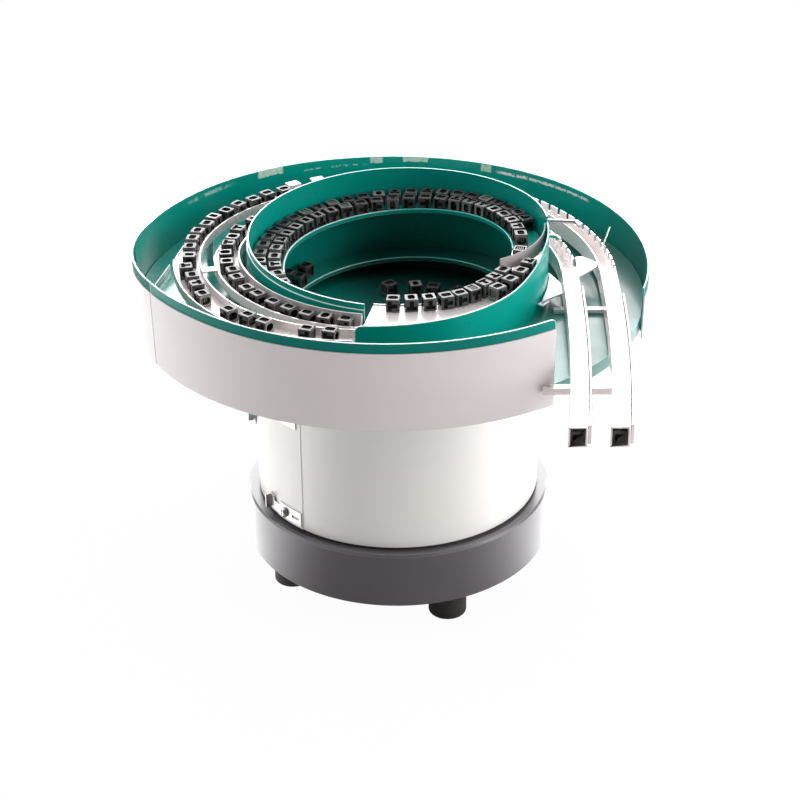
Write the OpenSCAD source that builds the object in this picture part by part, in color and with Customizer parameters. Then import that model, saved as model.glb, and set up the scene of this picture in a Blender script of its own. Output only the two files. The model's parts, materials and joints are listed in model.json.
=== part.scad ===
// Vibratory bowl feeder: a spring-mounted rotary drive under a sheet-metal
// spiral bowl, an outer return pan and two curved lanes ending in straight chutes.
// Millimetres. +Z is up, the origin is on the floor on the axis of the base,
// and the chutes run out toward -Y.

/* [Base and drive] */
// Width of the base's deck outside the skirt
base_lip = 8.8; // [4:0.1:20]
// Height of the cast base
base_h = 48; // [35:1:70]
// Height of the rubber feet
foot_h = 28; // [15:1:45]
// Diameter of the rubber feet
foot_d = 31; // [24:1:44]
// Distance from the base's edge to the centre of a foot
foot_inset = 28; // [23:0.5:45]
// Angle of the first foot
foot_az = -66; // [-90:1:0]
// Outer diameter of the cylindrical skirt
skirt_d = 232.4; // [200:0.1:260]
// Thickness of the skirt sheet
skirt_t = 1.6; // [1:0.1:3]
// Height of the skirt
skirt_h = 129.5; // [105:0.5:160]
// Gap between the skirt's top edge and the bowl
bowl_gap = 5; // [2:0.5:12]
// Tilt of the leaf springs from the vertical, degrees
spring_tilt = 20; // [10:1:30]
// Thickness of one leaf spring
spring_t = 3; // [2:0.5:6]
// Width of one leaf spring
spring_w = 24; // [22:1:40]

/* [Inner bowl] */
// Inner diameter of the bowl shell
bowl_d = 232.2; // [160:0.1:320]
// Sideways offset of the bowl from the base axis
bowl_x = 1.4; // [-10:0.1:10]
// Thickness of the sheet of bowl, track and pan walls
sheet_t = 1.4; // [0.8:0.1:3]
// Width of the helical track, which carries two rows of workpieces
track_w = 25.8; // [25.4:0.1:40]
// Height of the bead along the inner edge of the track
track_lip = 2.2; // [0.2:0.1:6]
// Height of the spiral wall's rim above the pan floor where it starts
rim_start = 43; // [38:0.5:56]
// Height of the spiral wall's rim above the pan floor where it ends
rim_end = 58; // [50:0.5:80]

/* [Return pan] */
// Width from the inside of the bowl shell to the rim of the pan
pan_w = 88.3; // [80:0.1:110]
// Sideways offset of the pan from the base axis
pan_x = -4; // [-12:0.5:12]
// Height of the pan floor above the underside of the bowl
pan_lift = 37; // [30:0.5:60]
// Height of the front wall's rim above the pan floor
pan_front_h = 55; // [40:0.5:75]
// Height of the rear wall's rim above the pan floor
pan_rear_h = 31; // [20:0.5:50]
// Gap between the end of the front wall and the inner chute
gate_gap = 16; // [10:0.1:40]
// How far the rear wall reaches forward past the base axis
rear_reach = 59.8; // [40:0.1:75]
// Angle of the seam between front and rear walls
seam_a = 208; // [190:1:225]

/* [Lanes and chutes] */
// Thickness of the lane sheet
lane_t = 1.2; // [0.8:0.1:2]
// Height of the lane floors above the pan floor where they start
lane_start_h = 26; // [18:0.5:30]
// Height of the lane floors above the pan floor at the chutes
lane_end_h = 4.7; // [3:0.1:15]
// Inner height of the chutes
chute_h = 13; // [11:0.5:20]
// How far the chutes reach in front of the base axis
chute_len = 262; // [230:1:320]
// Pitch of the comb teeth on the lane guards
comb_pitch = 11.4; // [8:0.1:16]

/* [Workpieces] */
// Edge of one workpiece
wp = 10.2; // [6:0.1:10.3]
// Square window through one workpiece
wp_win = 5.6; // [2:0.1:8]

/* [Hidden] */
$fn = 96;
// Drive, from the deck of the base up to the plate that carries the bowl
deck = foot_h + base_h;
base_d = skirt_d + 2*base_lip;
foot_r = base_d/2 - foot_inset;
stud_d = 8;
duct_y = 56;
duct_z = foot_h + base_h/2;
gasket_h = 2.5;
skirt_r = skirt_d/2;
skirt_z = deck + gasket_h;
skirt_top = skirt_z + skirt_h;
bowl_z = skirt_top + bowl_gap;
plate_t = 13;
plate_r = skirt_r - skirt_t - 8.6;
plate_z = bowl_z - plate_t;
spring_r = plate_r - 20;
spring_c = (deck + plate_z)/2;
spring_len = plate_z - deck - 19;
spring_bolt_x = 6;
spring_bolt_u = 13 - spring_len/2;
magnet_z = deck + 22;
// Bowl
bowl_r = bowl_d/2;
shell_r = bowl_r + sheet_t;
front_r = shell_r + 0.4;
track_r = bowl_r - track_w;
bowl_floor_z = bowl_z + 3;
// Pan
pan_r = bowl_r + pan_w;
pan_z = bowl_z + pan_lift;
pan_floor_t = 2;
curb_h = 10.5;
pan_foot = pan_z - 16;
pan_lean = 1.6;
pan_front_z = pan_z + pan_front_h;
pan_rear_z = pan_z + pan_rear_h;
rim_lo = pan_z + rim_start;
rim_hi = pan_z + rim_end;
// Surfaces that the workpieces leave the track by
exit_z0 = pan_z + 34.3;
exit_z1 = pan_z + 29.3;
exit_a = -3;
open_a = -102;
step_a = 5;
// Smallest gap between two sheets that lie against each other
fit = 0.1;

function at(a, v) = [cos(a)*v, sin(a)*v];
function span(a, b, d) = let (n = max(1, ceil(abs(b - a)/d))) [for (i = [0:n]) a + (b - a)*i/n];
function mix(p, q, t) = p + (q - p)*t;
// How far the top edge of a sheet drops at distance d from a rounded corner of radius r
function corner(d, r) = d >= r ? 0 : r - sqrt(r*r - pow(r - max(d, 0), 2));
// Stations from a to b, set closer over the last few degrees, where a corner is rounded
function span_to_corner(a, b, d, last) = let (m = b - sign(b - a)*last)
  concat(span(a, m, d), [for (t = [0.35, 0.6, 0.8, 0.92, 1]) mix(m, b, t)]);

// Sum of a list of points, and the direction that a ring of points turns about
function total(v) = [for (p = v) 1]*v;
function facing(r) = total([for (i = [1:len(r) - 2]) cross(r[i] - r[0], r[i + 1] - r[0])]);

// Solid through a list of rings that all list their corners in the same order, either way round
module skin(rings) {
  n = len(rings);
  m = len(rings[0]);
  order = facing(rings[0])*(total(rings[1]) - total(rings[0])) > 0 ? [0:m - 1] : [m - 1:-1:0];
  polyhedron([for (r = rings, j = order) r[j]],
    concat(
      [[for (j = [0:m - 1]) j]],
      [[for (j = [m - 1:-1:0]) (n - 1)*m + j]],
      [for (i = [0:n - 2], j = [0:m - 1])
        each let (a = i*m + j, b = i*m + (j + 1)%m, c = a + m, d = b + m) [[a, c, d], [a, d, b]]]));
}

// Ring of [radius, height] corners in the upright plane at angle a, about x = cx
function ring(cx, a, sec) = [for (p = sec) [cx + p[0]*cos(a), p[0]*sin(a), p[1]]];

// ---------- heights along the spiral ----------
// Share of the climb done after s degrees along the helical track
climb_share = [[0, 0], [110, 0.13], [230, 0.33], [271, 0.4], [356, 0.6], [433, 0.768], [450, 0.803],
  [481, 0.825], [496, 0.838], [519, 0.872], [532, 0.896], [572, 0.974], [600, 1]];
climb_start = bowl_floor_z + sheet_t + 0.8;
function track_z(s) = mix(climb_start, exit_z0, lookup(s, climb_share));
track_a0 = 256;
function track_a(s) = track_a0 - s;
// The track in two pieces: up to the pan's height, and on to the plate in front
track_joint = 356;
track_end = track_a0 + 360 - exit_a;
track_wide = track_end - 6;

// Rim of the pan wall as a function of angle
function pan_rim(a) = lookup(a, [[gate_a1, pan_rear_z - 4], [16, pan_rear_z - 2], [40, pan_rear_z - 1],
  [100, pan_rear_z], [seam_a - 58, pan_rear_z + 3], [seam_a - 43, pan_rear_z + 5],
  [seam_a - 28, pan_rear_z + 11], [seam_a - 13, pan_rear_z + 17], [seam_a, pan_rear_z + 21.5],
  [seam_a + 8, pan_front_z - 1.2], [seam_a + 17, pan_front_z]]);
// Front wall of the bowl: it opens outward past flare_a, and its rim follows
flare_a = -34;
flare_w = 36;
function front_wall_r(a) = front_r + flare_w*pow(max(0, flare_a - a)/(flare_a - open_a), 1.2);
function front_wall_z(a) = lookup(a, [[open_a, rim_lo], [-87, rim_lo - 2], [-74, rim_lo - 3.5],
  [-59, rim_lo - 4.5], [-45, rim_lo - 5], [-35, rim_lo - 4], [-26, rim_lo + 0.7], [-18, rim_hi - 8],
  [0, rim_hi - 4.4]]);
function exit_z(a) = lookup(a, [[open_a, exit_z1], [-84, exit_z1], [-70, exit_z1 - 1.5],
  [-55, exit_z1 - 1.5], [-35, exit_z1 + 2.3], [-20, exit_z0]]);

// ---------- lanes: s is the angle travelled from the start at the front ----------
lane_x = bowl_x - 1.4;
lane_a0 = 258;
lane_end = 260;
lane_z0 = pan_z + lane_start_h;
lane_z1 = pan_z + lane_end_h;
function lane_floor(s) = lookup(s, [[0, lane_z0], [80, lane_z0], [165, mix(lane_z0, lane_z1, 0.48)],
  [250, lane_z1]]);
// Walls of the lanes, as distances from a circle close outside the bowl shell
lane_ref_r = shell_r + 0.7;
function beside(t) = [for (q = t) [q[0], lane_ref_r + q[1]]];
lane1_in = beside([[0, 4.7], [40, 5.4], [80, 5.8], [170, 9.3], [230, 11], [260, 12.4]]);
lane1_out = beside([[0, 18.6], [8, 20.2], [17, 21.8], [50, 24.3], [80, 26.8], [130, 26.8], [170, 25.8],
  [200, 25.2], [260, 25.6]]);
lane2_in = beside([[0, 20.8], [20, 28.8], [40, 34.8], [80, 36.8], [120, 37.8], [170, 39.2], [200, 40.2],
  [260, 42.8]]);
lane2_out = beside([[0, 40.4], [15, 47.3], [31, 56.3], [50, 58.3], [80, 58.3], [84, 56.3], [100, 55.4],
  [170, 55], [200, 55.2], [260, 56.3]]);
chute1 = [lookup(lane_end, lane1_in), lookup(lane_end, lane1_out)];
chute2 = [lookup(lane_end, lane2_in), lookup(lane_end, lane2_out)];

// Guards of the lanes: low at first, cut away past the tip, then toothed up to the chutes
guard_h = 6.6;
guard_start = 11.5;
guard_cut = 0.9;
notch_h = 5.4;
tooth_share = 0.68;
function comb_ds(r) = comb_pitch/r*180/PI;
// Pairs of stations step the wall down into each notch
function comb(s0, s1, ds) = [for (k = [0:floor((s1 - s0)/ds) - 1]) let (s = s0 + k*ds)
  each [[s, chute_h], [s + ds*tooth_share, chute_h], [s + ds*tooth_share + 0.03, chute_h - notch_h],
    [s + ds - 0.03, chute_h - notch_h]]];
function outer_guard(tip_s, comb_s, r) =
  let (ds = comb_ds(r), n = floor((lane_end - comb_s)/ds), s0 = lane_end - n*ds) concat(
    [for (s = span(0, tip_s - 6, 5)) [s, guard_h]],
    [[tip_s - 1, 5], [tip_s, 1]],
    [for (s = span(tip_s + 1, s0 - 1, 5)) [s, guard_cut]],
    [[s0 - 0.05, guard_cut]],
    comb(s0, lane_end, ds),
    [[lane_end, chute_h]]);
function inner_guard(s, start_h) = lookup(s, [[0, start_h], [60, start_h], [90, guard_h], [150, guard_h],
  [200, chute_h]]);

// Angle and outward direction of a lane at s, and its middle
function lane_a(s) = lane_a0 - s*lane_a0/lane_end;
function lane_dir(s) = at(lane_a(s), 1);
function lane_r(tin, tout, s) = (lookup(s, tin) + lookup(s, tout))/2;
// Side of a chute at y: straight at first, then bending inward by its drift
chute_y0 = 20;
drift1 = 13.2;
drift2 = 14.6;
function chute_x(y, x0, drift) = x0 - drift*pow(max(0, -y - chute_y0)/(chute_len - chute_y0), 2);
function chute_turn(y, drift) = -atan(2*drift*(-y - chute_y0)/pow(chute_len - chute_y0, 2));
run_y = concat([-12, -24], span(-45, -chute_len, 28));

// Where the pan's wall makes way for the chutes
gate_a0 = -acos((lane_x + chute1[0] - gate_gap - pan_x)/pan_r);
gate_a1 = -asin(rear_reach/pan_r);

// Channel section: u from the inner to the outer side, floor at z
function channel(u0, u1, z, hi, ho) = [[u0, z - lane_t], [u0, z + hi], [u0 + lane_t, z + hi],
  [u0 + lane_t, z], [u1 - lane_t, z], [u1 - lane_t, z + ho], [u1, z + ho], [u1, z - lane_t]];

module lanes_at() translate([lane_x, 0, 0]) children();
module bowl_at() translate([bowl_x, 0, 0]) children();

module lane(tin, tout, tip_s, comb_s, start_h, drift) {
  end = [lookup(lane_end, tin), lookup(lane_end, tout)];
  arc = [for (q = outer_guard(tip_s, comb_s, end[1])) let (s = q[0],
      sec = channel(lookup(s, tin), lookup(s, tout), lane_floor(s), inner_guard(s, start_h), q[1]))
    ring(0, lane_a(s), sec)];
  run = [for (y = run_y) [for (p = channel(end[0], end[1], lane_z1, chute_h, chute_h))
    [chute_x(y, p[0], drift), y, p[1]]]];
  lanes_at() skin(concat(arc, run));
}

// ---------- base and drive ----------
module feet_at() {
  for (k = [0:3]) rotate([0, 0, foot_az + 90*k]) translate([foot_r, 0, 0]) children();
}

// Round solid with both edges chamfered
module chamfered(d, h, c) {
  cylinder(d1 = d - 2*c, d2 = d, h = c);
  translate([0, 0, c]) cylinder(d = d, h = h - 2*c);
  translate([0, 0, h - c]) cylinder(d1 = d, d2 = d - 2*c, h = c);
}

// Cast base with foot holes and the cable passage
module base_casting() color([0.45, 0.43, 0.45]) difference() {
  translate([0, 0, foot_h]) chamfered(base_d, base_h, 1.5);
  feet_at() translate([0, 0, foot_h - 1]) cylinder(d = stud_d + 0.4, h = 19);
  translate([0, duct_y, duct_z - 6]) cylinder(d = 16, h = base_h);
  translate([0, duct_y, duct_z]) rotate([-90, 0, 0]) cylinder(d = 12.4, h = base_d/2);
}

// Rubber buffers with a threaded hole in the underside
module rubber_feet() color([0.17, 0.15, 0.15]) feet_at() difference() {
  chamfered(foot_d, foot_h, 1.5);
  translate([0, 0, -1]) cylinder(d = stud_d, h = 11);
  translate([0, 0, foot_h - 8]) cylinder(d = stud_d + 0.4, h = 9);
}

module foot_studs() color([0.7, 0.7, 0.72]) feet_at() translate([0, 0, foot_h - 7.8])
  cylinder(d = stud_d, h = 24);

// Cable gland at the rear; the cable itself is not part of the feeder
module cable_gland() color([0.12, 0.12, 0.13])
  translate([0, base_d/2 + fit, duct_z]) rotate([-90, 0, 0]) difference() {
    union() {
      translate([0, 0, -14]) cylinder(d = 12, h = 14);
      cylinder(d = 19, h = 5, $fn = 6);
      translate([0, 0, 5]) cylinder(d = 16, h = 7);
      translate([0, 0, 12]) cylinder(d1 = 16, d2 = 11, h = 4);
    }
    translate([0, 0, -20]) cylinder(d = 6.5, h = 40);
  }

module skirt_gasket() color([0.1, 0.1, 0.1]) translate([0, 0, deck]) difference() {
  cylinder(r = skirt_r - 0.3, h = gasket_h, $fn = 128);
  translate([0, 0, -1]) cylinder(r = skirt_r - skirt_t - 2.4, h = gasket_h + 2, $fn = 128);
}

// Screws of the skirt: two through the seam, one at the side
clamp_a = -141;
clamp_lo = deck + 11;
clamp_hi = skirt_top - 32;
clamp_t = 1.15;
lap_t = 0.6;
side_a = 183;
side_z = skirt_top - 71;
screw_d = 5;

// Radial hole through the skirt at angle a and height z
module skirt_hole(a, z) rotate([0, 0, a]) translate([skirt_r - 8, 0, z]) rotate([0, 90, 0])
  cylinder(d = screw_d + 0.6, h = 16);

module skirt() color([0.93, 0.93, 0.92]) difference() {
  translate([0, 0, skirt_z]) cylinder(r = skirt_r, h = skirt_h, $fn = 128);
  translate([0, 0, deck]) cylinder(r = skirt_r - skirt_t, h = skirt_h + 10, $fn = 128);
  skirt_hole(clamp_a, clamp_lo);
  skirt_hole(clamp_a, clamp_hi);
  skirt_hole(side_a, side_z);
}

module sector(r0, r1, a0, a1, z0, z1) rotate([0, 0, a0]) rotate_extrude(angle = a1 - a0, $fn = 180)
  translate([r0, z0]) square([r1 - r0, z1 - z0]);

// Overlapping end of the rolled skirt sheet
module skirt_lap() color([0.91, 0.91, 0.90]) difference() {
  sector(skirt_r + 0.02, skirt_r + lap_t, clamp_a - 6, clamp_a + 10, skirt_z, skirt_top);
  skirt_hole(clamp_a, clamp_lo);
  skirt_hole(clamp_a, clamp_hi);
}

// Slotted closing plates over the skirt seam, from angle a0 to a1
module clamp_plate(z, a0, a1) difference() {
  sector(skirt_r + lap_t + 0.05, skirt_r + lap_t + 0.05 + clamp_t, a0, a1, z - 6.5, z + 6.5);
  skirt_hole(clamp_a, z);
  rotate([0, 0, a1 - 3.2]) translate([skirt_r - 2, -4, z - 1.3]) cube([8, 8, 2.6]);
  rotate([0, 0, clamp_a - 6]) translate([skirt_r - 2, -3.5, z + 3]) cube([8, 9, 6]);
}
module skirt_clamps() color([0.85, 0.85, 0.84]) {
  clamp_plate(clamp_lo, clamp_a - 12, clamp_a + 9.5);
  clamp_plate(clamp_hi, clamp_a - 6, clamp_a + 8);
  // folded tab of the lower plate
  rotate([0, 0, clamp_a - 10]) translate([skirt_r + lap_t + 0.7, -2.5, clamp_lo - 6])
    cube([4.7, 1.1, 12]);
}

// Bolt from a head plane outside the sheet to a nut r0 deeper, inside it
module bolt_and_nut(r0) {
  translate([0, 0, -r0 - skirt_t - 5]) cylinder(d = screw_d, h = r0 + skirt_t + 5);
  translate([0, 0, -r0 - skirt_t - 4]) cylinder(d = 9, h = 3.2, $fn = 6);
}

// Screws, washers and inner nuts that hold the skirt
clamp_face = lap_t + clamp_t + 0.15;
module skirt_screws() color([0.75, 0.75, 0.77]) {
  for (z = [clamp_lo, clamp_hi])
    rotate([0, 0, clamp_a]) translate([skirt_r + clamp_face, 0, z]) rotate([0, 90, 0]) {
      difference() {
        union() {
          cylinder(d = 8.8, h = 1.6);
          translate([0, 0, 1.6]) cylinder(d1 = 8.8, d2 = 5.4, h = 1.8);
        }
        translate([-3, -0.6, 2.2]) cube([6, 1.2, 3]);
      }
      bolt_and_nut(clamp_face);
    }
  rotate([0, 0, side_a]) translate([skirt_r + 0.15, 0, side_z]) rotate([0, 90, 0]) {
    cylinder(d = 12, h = 1.1);
    translate([0, 0, 1.1]) cylinder(d = screw_d, h = 1.2);
    translate([0, 0, 2.3]) cylinder(d = 7, h = 4.2, $fn = 6);
    bolt_and_nut(0.15);
  }
}

// Stations of the four leaf springs: x radial, y along the travel, z up
module springs_at() { for (k = [0:3]) rotate([0, 0, 45 + 90*k]) translate([spring_r, 0, 0]) children(); }
module upper_half() translate([0, 0, 2*spring_c]) rotate([180, 0, 0]) children();
module tilted() translate([0, 0, spring_c]) rotate([-spring_tilt, 0, 0]) children();

module bolt_holes(d, y0, y1) tilted() for (x = [-spring_bolt_x, spring_bolt_x])
  translate([x, y0, spring_bolt_u]) rotate([-90, 0, 0]) cylinder(d = d, h = y1 - y0);

// Block whose slanted face the spring lies on
block_y = -44;
module spring_block() {
  st = sin(spring_tilt);
  ct = cos(spring_tilt);
  face_lo = (deck - spring_c - st*spring_t/2)/ct;
  face_hi = 25 - spring_len/2;
  top = spring_c + ct*face_hi + st*spring_t/2;
  difference() {
    translate([-spring_w/2, 0, 0]) rotate([90, 0, 90]) linear_extrude(spring_w) polygon([
      [block_y, deck], [st*face_lo - ct*spring_t/2, deck], [st*face_hi - ct*spring_t/2, top],
      [block_y + 16, top], [block_y, deck + 16]]);
    bolt_holes(8.4, -spring_t/2 - 11, spring_t);
  }
}
clamp_block_t = 6;
module spring_clamp() difference() {
  tilted() translate([-spring_w/2, spring_t/2, 2 - spring_len/2]) cube([spring_w, clamp_block_t, 22]);
  bolt_holes(8.6, 0, 12);
}
module spring_bolt() tilted() for (x = [-spring_bolt_x, spring_bolt_x])
  translate([x, spring_t/2 + clamp_block_t, spring_bolt_u]) rotate([-90, 0, 0]) {
    difference() {
      cylinder(d = 11.6, h = 5);
      translate([0, 0, 2]) cylinder(d = 6, h = 4, $fn = 6);
    }
    translate([0, 0, -clamp_block_t - spring_t - 10]) cylinder(d = 8, h = clamp_block_t + spring_t + 10);
  }

module spring_blocks_lower() color([0.5, 0.5, 0.52]) springs_at() spring_block();
module spring_clamps_lower() color([0.72, 0.72, 0.73]) springs_at() spring_clamp();
module spring_bolts_lower() color([0.3, 0.3, 0.31]) springs_at() spring_bolt();
module spring_blocks_upper() color([0.5, 0.5, 0.52]) springs_at() upper_half() spring_block();
module spring_clamps_upper() color([0.72, 0.72, 0.73]) springs_at() upper_half() spring_clamp();
module spring_bolts_upper() color([0.3, 0.3, 0.31]) springs_at() upper_half() spring_bolt();
module leaf_springs() color([0.78, 0.72, 0.45]) springs_at() difference() {
  tilted() cube([spring_w, spring_t - 0.06, spring_len], center = true);
  bolt_holes(9, -spring_t, spring_t);
  upper_half() bolt_holes(9, -spring_t, spring_t);
}

// Drive magnet between base and bowl plate
core_x = 30;
core_y = 17;
module magnet_bracket() color([0.5, 0.5, 0.52]) translate([-core_x - 6, -core_y - 9, deck])
  cube([2*core_x + 12, 2*core_y + 18, magnet_z - deck]);
module magnet_core() color([0.4, 0.4, 0.42]) translate([0, -core_y, magnet_z]) {
  translate([-core_x, 0, 0]) cube([2*core_x, 2*core_y, 12]);
  for (leg = [[-core_x, 10], [-9, 18], [core_x - 10, 10]])
    translate([leg[0], 0, 12]) cube([leg[1], 2*core_y, 38]);
}
module magnet_coil() color([0.6, 0.3, 0.15]) translate([0, 0, magnet_z + 13]) difference() {
  translate([-19, -core_y - 10, 0]) cube([38, 2*core_y + 20, 32]);
  translate([-9.4, -core_y - 0.4, -1]) cube([18.8, 2*core_y + 0.8, 40]);
}
armature_z = magnet_z + 51.5;
module armature() color([0.42, 0.42, 0.44]) {
  translate([-core_x, -core_y, armature_z]) cube([2*core_x, 2*core_y, 14]);
  translate([0, 0, armature_z + 14]) cylinder(d = 40, h = plate_z - armature_z - 14);
}

// ---------- bowl body ----------
// Turned plate that carries the bowl on the upper spring blocks
module top_plate() color([0.6, 0.6, 0.62]) translate([0, 0, plate_z]) difference() {
  cylinder(r = plate_r, h = plate_t);
  translate([bowl_x, 0, -1]) cylinder(d = 12.4, h = plate_t + 2);
}
module centre_bolt() color([0.72, 0.72, 0.74]) translate([bowl_x, 0, bowl_z]) {
  translate([0, 0, -6]) cylinder(d = 12, h = 16);
  translate([0, 0, 10]) cylinder(d1 = 34, d2 = 30, h = 2);
  translate([0, 0, 12]) cylinder(d = 19, h = 7, $fn = 6);
}

// Conical bowl floor: flat hub, then falling to the foot of the track
hub_r = 20;
hub_h = 10;
cone_r = track_r - 4;
function cone_h(r) = mix(hub_h, 3.2, (r - hub_r)/(cone_r - hub_r));
module bowl_floor() color([0.03, 0.38, 0.34]) translate([bowl_x, 0, bowl_z]) rotate_extrude($fn = 128)
  polygon([[6.3, 0], [bowl_r - fit, 0], [bowl_r - fit, 3], [cone_r, cone_h(cone_r)], [hub_r, hub_h],
    [6.3, hub_h]]);

shell_top = pan_z + 26;
module bowl_shell() color([0.03, 0.42, 0.38]) translate([bowl_x, 0, bowl_z]) difference() {
  cylinder(r = shell_r, h = shell_top - bowl_z, $fn = 180);
  translate([0, 0, -1]) cylinder(r = bowl_r, h = shell_top - bowl_z + 2, $fn = 180);
}

// Spiral wall of the bowl, clockwise from the front, with a stepped rim
wall_foot = pan_z + 12;
wall_a0 = 257.6;
wall_a1 = 4;
function rim(s) = lookup(s, [[0, rim_lo], [81, rim_lo + 6], [160, rim_hi - 3.4], [229, rim_hi - 0.6],
  [248, rim_hi]]);
function wall_sec(r, z) = [[r, wall_foot], [r, z], [r + 1.25, z], [r + 1.25, z - 4.5], [r + 1.85, z - 5.1],
  [r + 1.85, wall_foot]];
module bowl_wall() color([0.04, 0.48, 0.43])
  skin([for (s = span(0, wall_a0 - wall_a1, 4))
    ring(bowl_x, wall_a0 - s, wall_sec(shell_r + 0.15, rim(s)))]);

// Wall after the seam: concentric at first, opening outward over the start of the lanes
function front_wall_top(a) = front_wall_z(a) - corner((a - open_a)*front_wall_r(a)*PI/180, 5);
module front_wall() color([0.04, 0.5, 0.45]) skin([for (a = span_to_corner(wall_a1 - 0.3, open_a, 4, 2.4))
  let (r = front_wall_r(a), z = front_wall_top(a))
    ring(bowl_x, a, [[r, pan_z + fit], [r, z], [r + sheet_t, z], [r + sheet_t, pan_z + fit]])]);

// Track section with a bead on its inner edge, out to radius ro
function track_sec(z, ro) = [[track_r, z - sheet_t], [track_r, z + track_lip], [track_r + 1.6, z + track_lip],
  [track_r + 1.6, z], [ro, z], [ro, z - sheet_t]];
function track_ring(s, ro) = ring(bowl_x, track_a(s), track_sec(track_z(s), ro));
module lower_track() color([0.03, 0.4, 0.36])
  skin([for (s = span(0, track_joint, step_a)) track_ring(s, bowl_r - 0.2)]);
module upper_track() color([0.03, 0.46, 0.41]) skin(concat(
  [for (s = span(track_joint, track_wide, step_a)) track_ring(s, bowl_r - 0.2)],
  [for (s = span(track_wide + 0.4, track_end, 3)) track_ring(s, front_r - fit)]));

// White track plate that widens toward the two lanes
function exit_sec(z, ro) = [[track_r, z - 1.5], [track_r, z + 1], [track_r + 1.2, z + 1], [track_r + 1.2, z],
  [ro, z], [ro, z - 1.5]];
module track_plate() color([0.93, 0.93, 0.92]) skin([for (a = span(exit_a - 0.2, open_a, 4))
  ring(bowl_x, a, exit_sec(exit_z(a), front_wall_r(a) - fit))]);

// Curved strip on edge across the track, from its inner edge to the seam of the wall.
// Each station is a foot point, the angle the strip faces and the share of the way along.
defl_c = [front_r - 57.9, 8];
defl_r = 56;
defl_a0 = -71;
defl_t = 1.2;
defl_path = [for (a = span(defl_a0, 0, 5)) [defl_c + at(a, defl_r), a, 1 - a/defl_a0]];
function defl_ring(p, q, lo, hi) = [[p[0], p[1], lo], [p[0], p[1], hi], [q[0], q[1], hi], [q[0], q[1], lo]];
module deflector() color([0.85, 0.85, 0.84]) bowl_at() skin([for (v = defl_path)
  defl_ring(v[0], v[0] + at(v[1], defl_t), exit_z0 + 2.1 + 2*v[2], mix(exit_z0 + 12, rim_hi - 5.4, v[2]))]);

// ---------- return pan ----------
module pan_floor() color([0.04, 0.47, 0.42]) difference() {
  translate([pan_x, 0, pan_z - curb_h]) difference() {
    cylinder(r = pan_r - pan_lean - sheet_t - fit, h = curb_h, $fn = 180);
    translate([0, 0, -1])
      cylinder(r = pan_r - pan_lean - sheet_t - 1.6, h = curb_h + 1 - pan_floor_t, $fn = 180);
  }
  translate([bowl_x, 0, pan_z - 5]) cylinder(r = shell_r + fit, h = 10, $fn = 180);
}

// The walls lean outward from pan_foot to the front rim
function lean(z) = pan_lean*(z - pan_front_z)/(pan_front_z - pan_foot);
function pan_sec(z0, z1, off, t) = let (r = pan_r + off)
  [[r - t + lean(z0), z0], [r - t + lean(z1), z1], [r + lean(z1), z1], [r + lean(z0), z0]];
shell_t = 1;
band_h = 8;
seam_gap = 0.15;
module rear_wall(z0, drop, off, t) skin([for (a = span(seam_a - seam_gap, gate_a1, 4))
  ring(pan_x, a, pan_sec(z0, pan_rim(a) - drop, off, t))]);
// The front wall's free corner at the gate is rounded
module front_pan_wall(z0, drop, off, t, round_r) let (end = 360 + gate_a0)
  skin([for (a = span_to_corner(seam_a + seam_gap, end, 4, 1.4))
    ring(pan_x, a, pan_sec(z0, pan_rim(a) - drop - corner((end - a)*pan_r*PI/180, round_r), off, t))]);

module pan_wall_rear() color([0.04, 0.46, 0.41]) rear_wall(pan_z - 10, 0, 0, sheet_t);
module pan_wall_front() color([0.04, 0.46, 0.41]) front_pan_wall(pan_z - 10, 0, 0, sheet_t, 4);
// White outer shells, ending below the rim so that a green band shows
module outer_shell_rear() color([0.90, 0.88, 0.89]) rear_wall(pan_foot, band_h, shell_t, shell_t);
module outer_shell_front() color([0.92, 0.90, 0.91])
  front_pan_wall(pan_foot, band_h, shell_t, shell_t, 0.5);

// Gussets between bowl shell and pan underside
gusset_w = 48;
module pan_gussets() color([0.04, 0.42, 0.38]) bowl_at() for (k = [0:5])
  rotate([0, 0, 60*k]) translate([shell_r + fit, 1.5, pan_z - pan_floor_t - fit]) rotate([90, 0, 0])
    linear_extrude(3) polygon([[0, 11 + pan_floor_t - pan_lift], [2, 11 + pan_floor_t - pan_lift],
      [gusset_w, -3], [gusset_w, 0], [0, 0]]);

// Upstanding seam of the pan floor, from the wall to the outer lane
module floor_seam_strip() color([0.55, 0.6, 0.6]) translate([pan_x, 0, pan_z + 0.05])
  rotate([0, 0, 187.6]) translate([pan_r - 8.7, 0, 0]) rotate([0, 0, 250.4]) cube([66, 1.2, 5]);

// ---------- lanes ----------
module inner_lane() color([0.93, 0.93, 0.92]) lane(lane1_in, lane1_out, 80, 216, guard_start, drift1);
module outer_lane() color([0.93, 0.93, 0.92]) lane(lane2_in, lane2_out, 77, 200, guard_h, drift2);

// Ring of a strip along a chute: x0 to x1 across it, z0 to z1 up
function strip_ring(y, x0, x1, z0, z1, drift) = let (a = chute_x(y, x0, drift), b = chute_x(y, x1, drift))
  [[a, y, z0], [a, y, z1], [b, y, z1], [b, y, z0]];
chute_top = lane_z1 + chute_h;

// Flat strips over the straight chutes
module chute_cover(c, drift) skin([for (y = concat([-6], run_y))
  strip_ring(y, c[0], c[1] - 0.4, chute_top + 0.02, chute_top + 1.2, drift)]);
module chute_covers() color([0.95, 0.95, 0.94]) lanes_at() {
  chute_cover(chute1, drift1);
  chute_cover(chute2, drift2);
}
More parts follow.
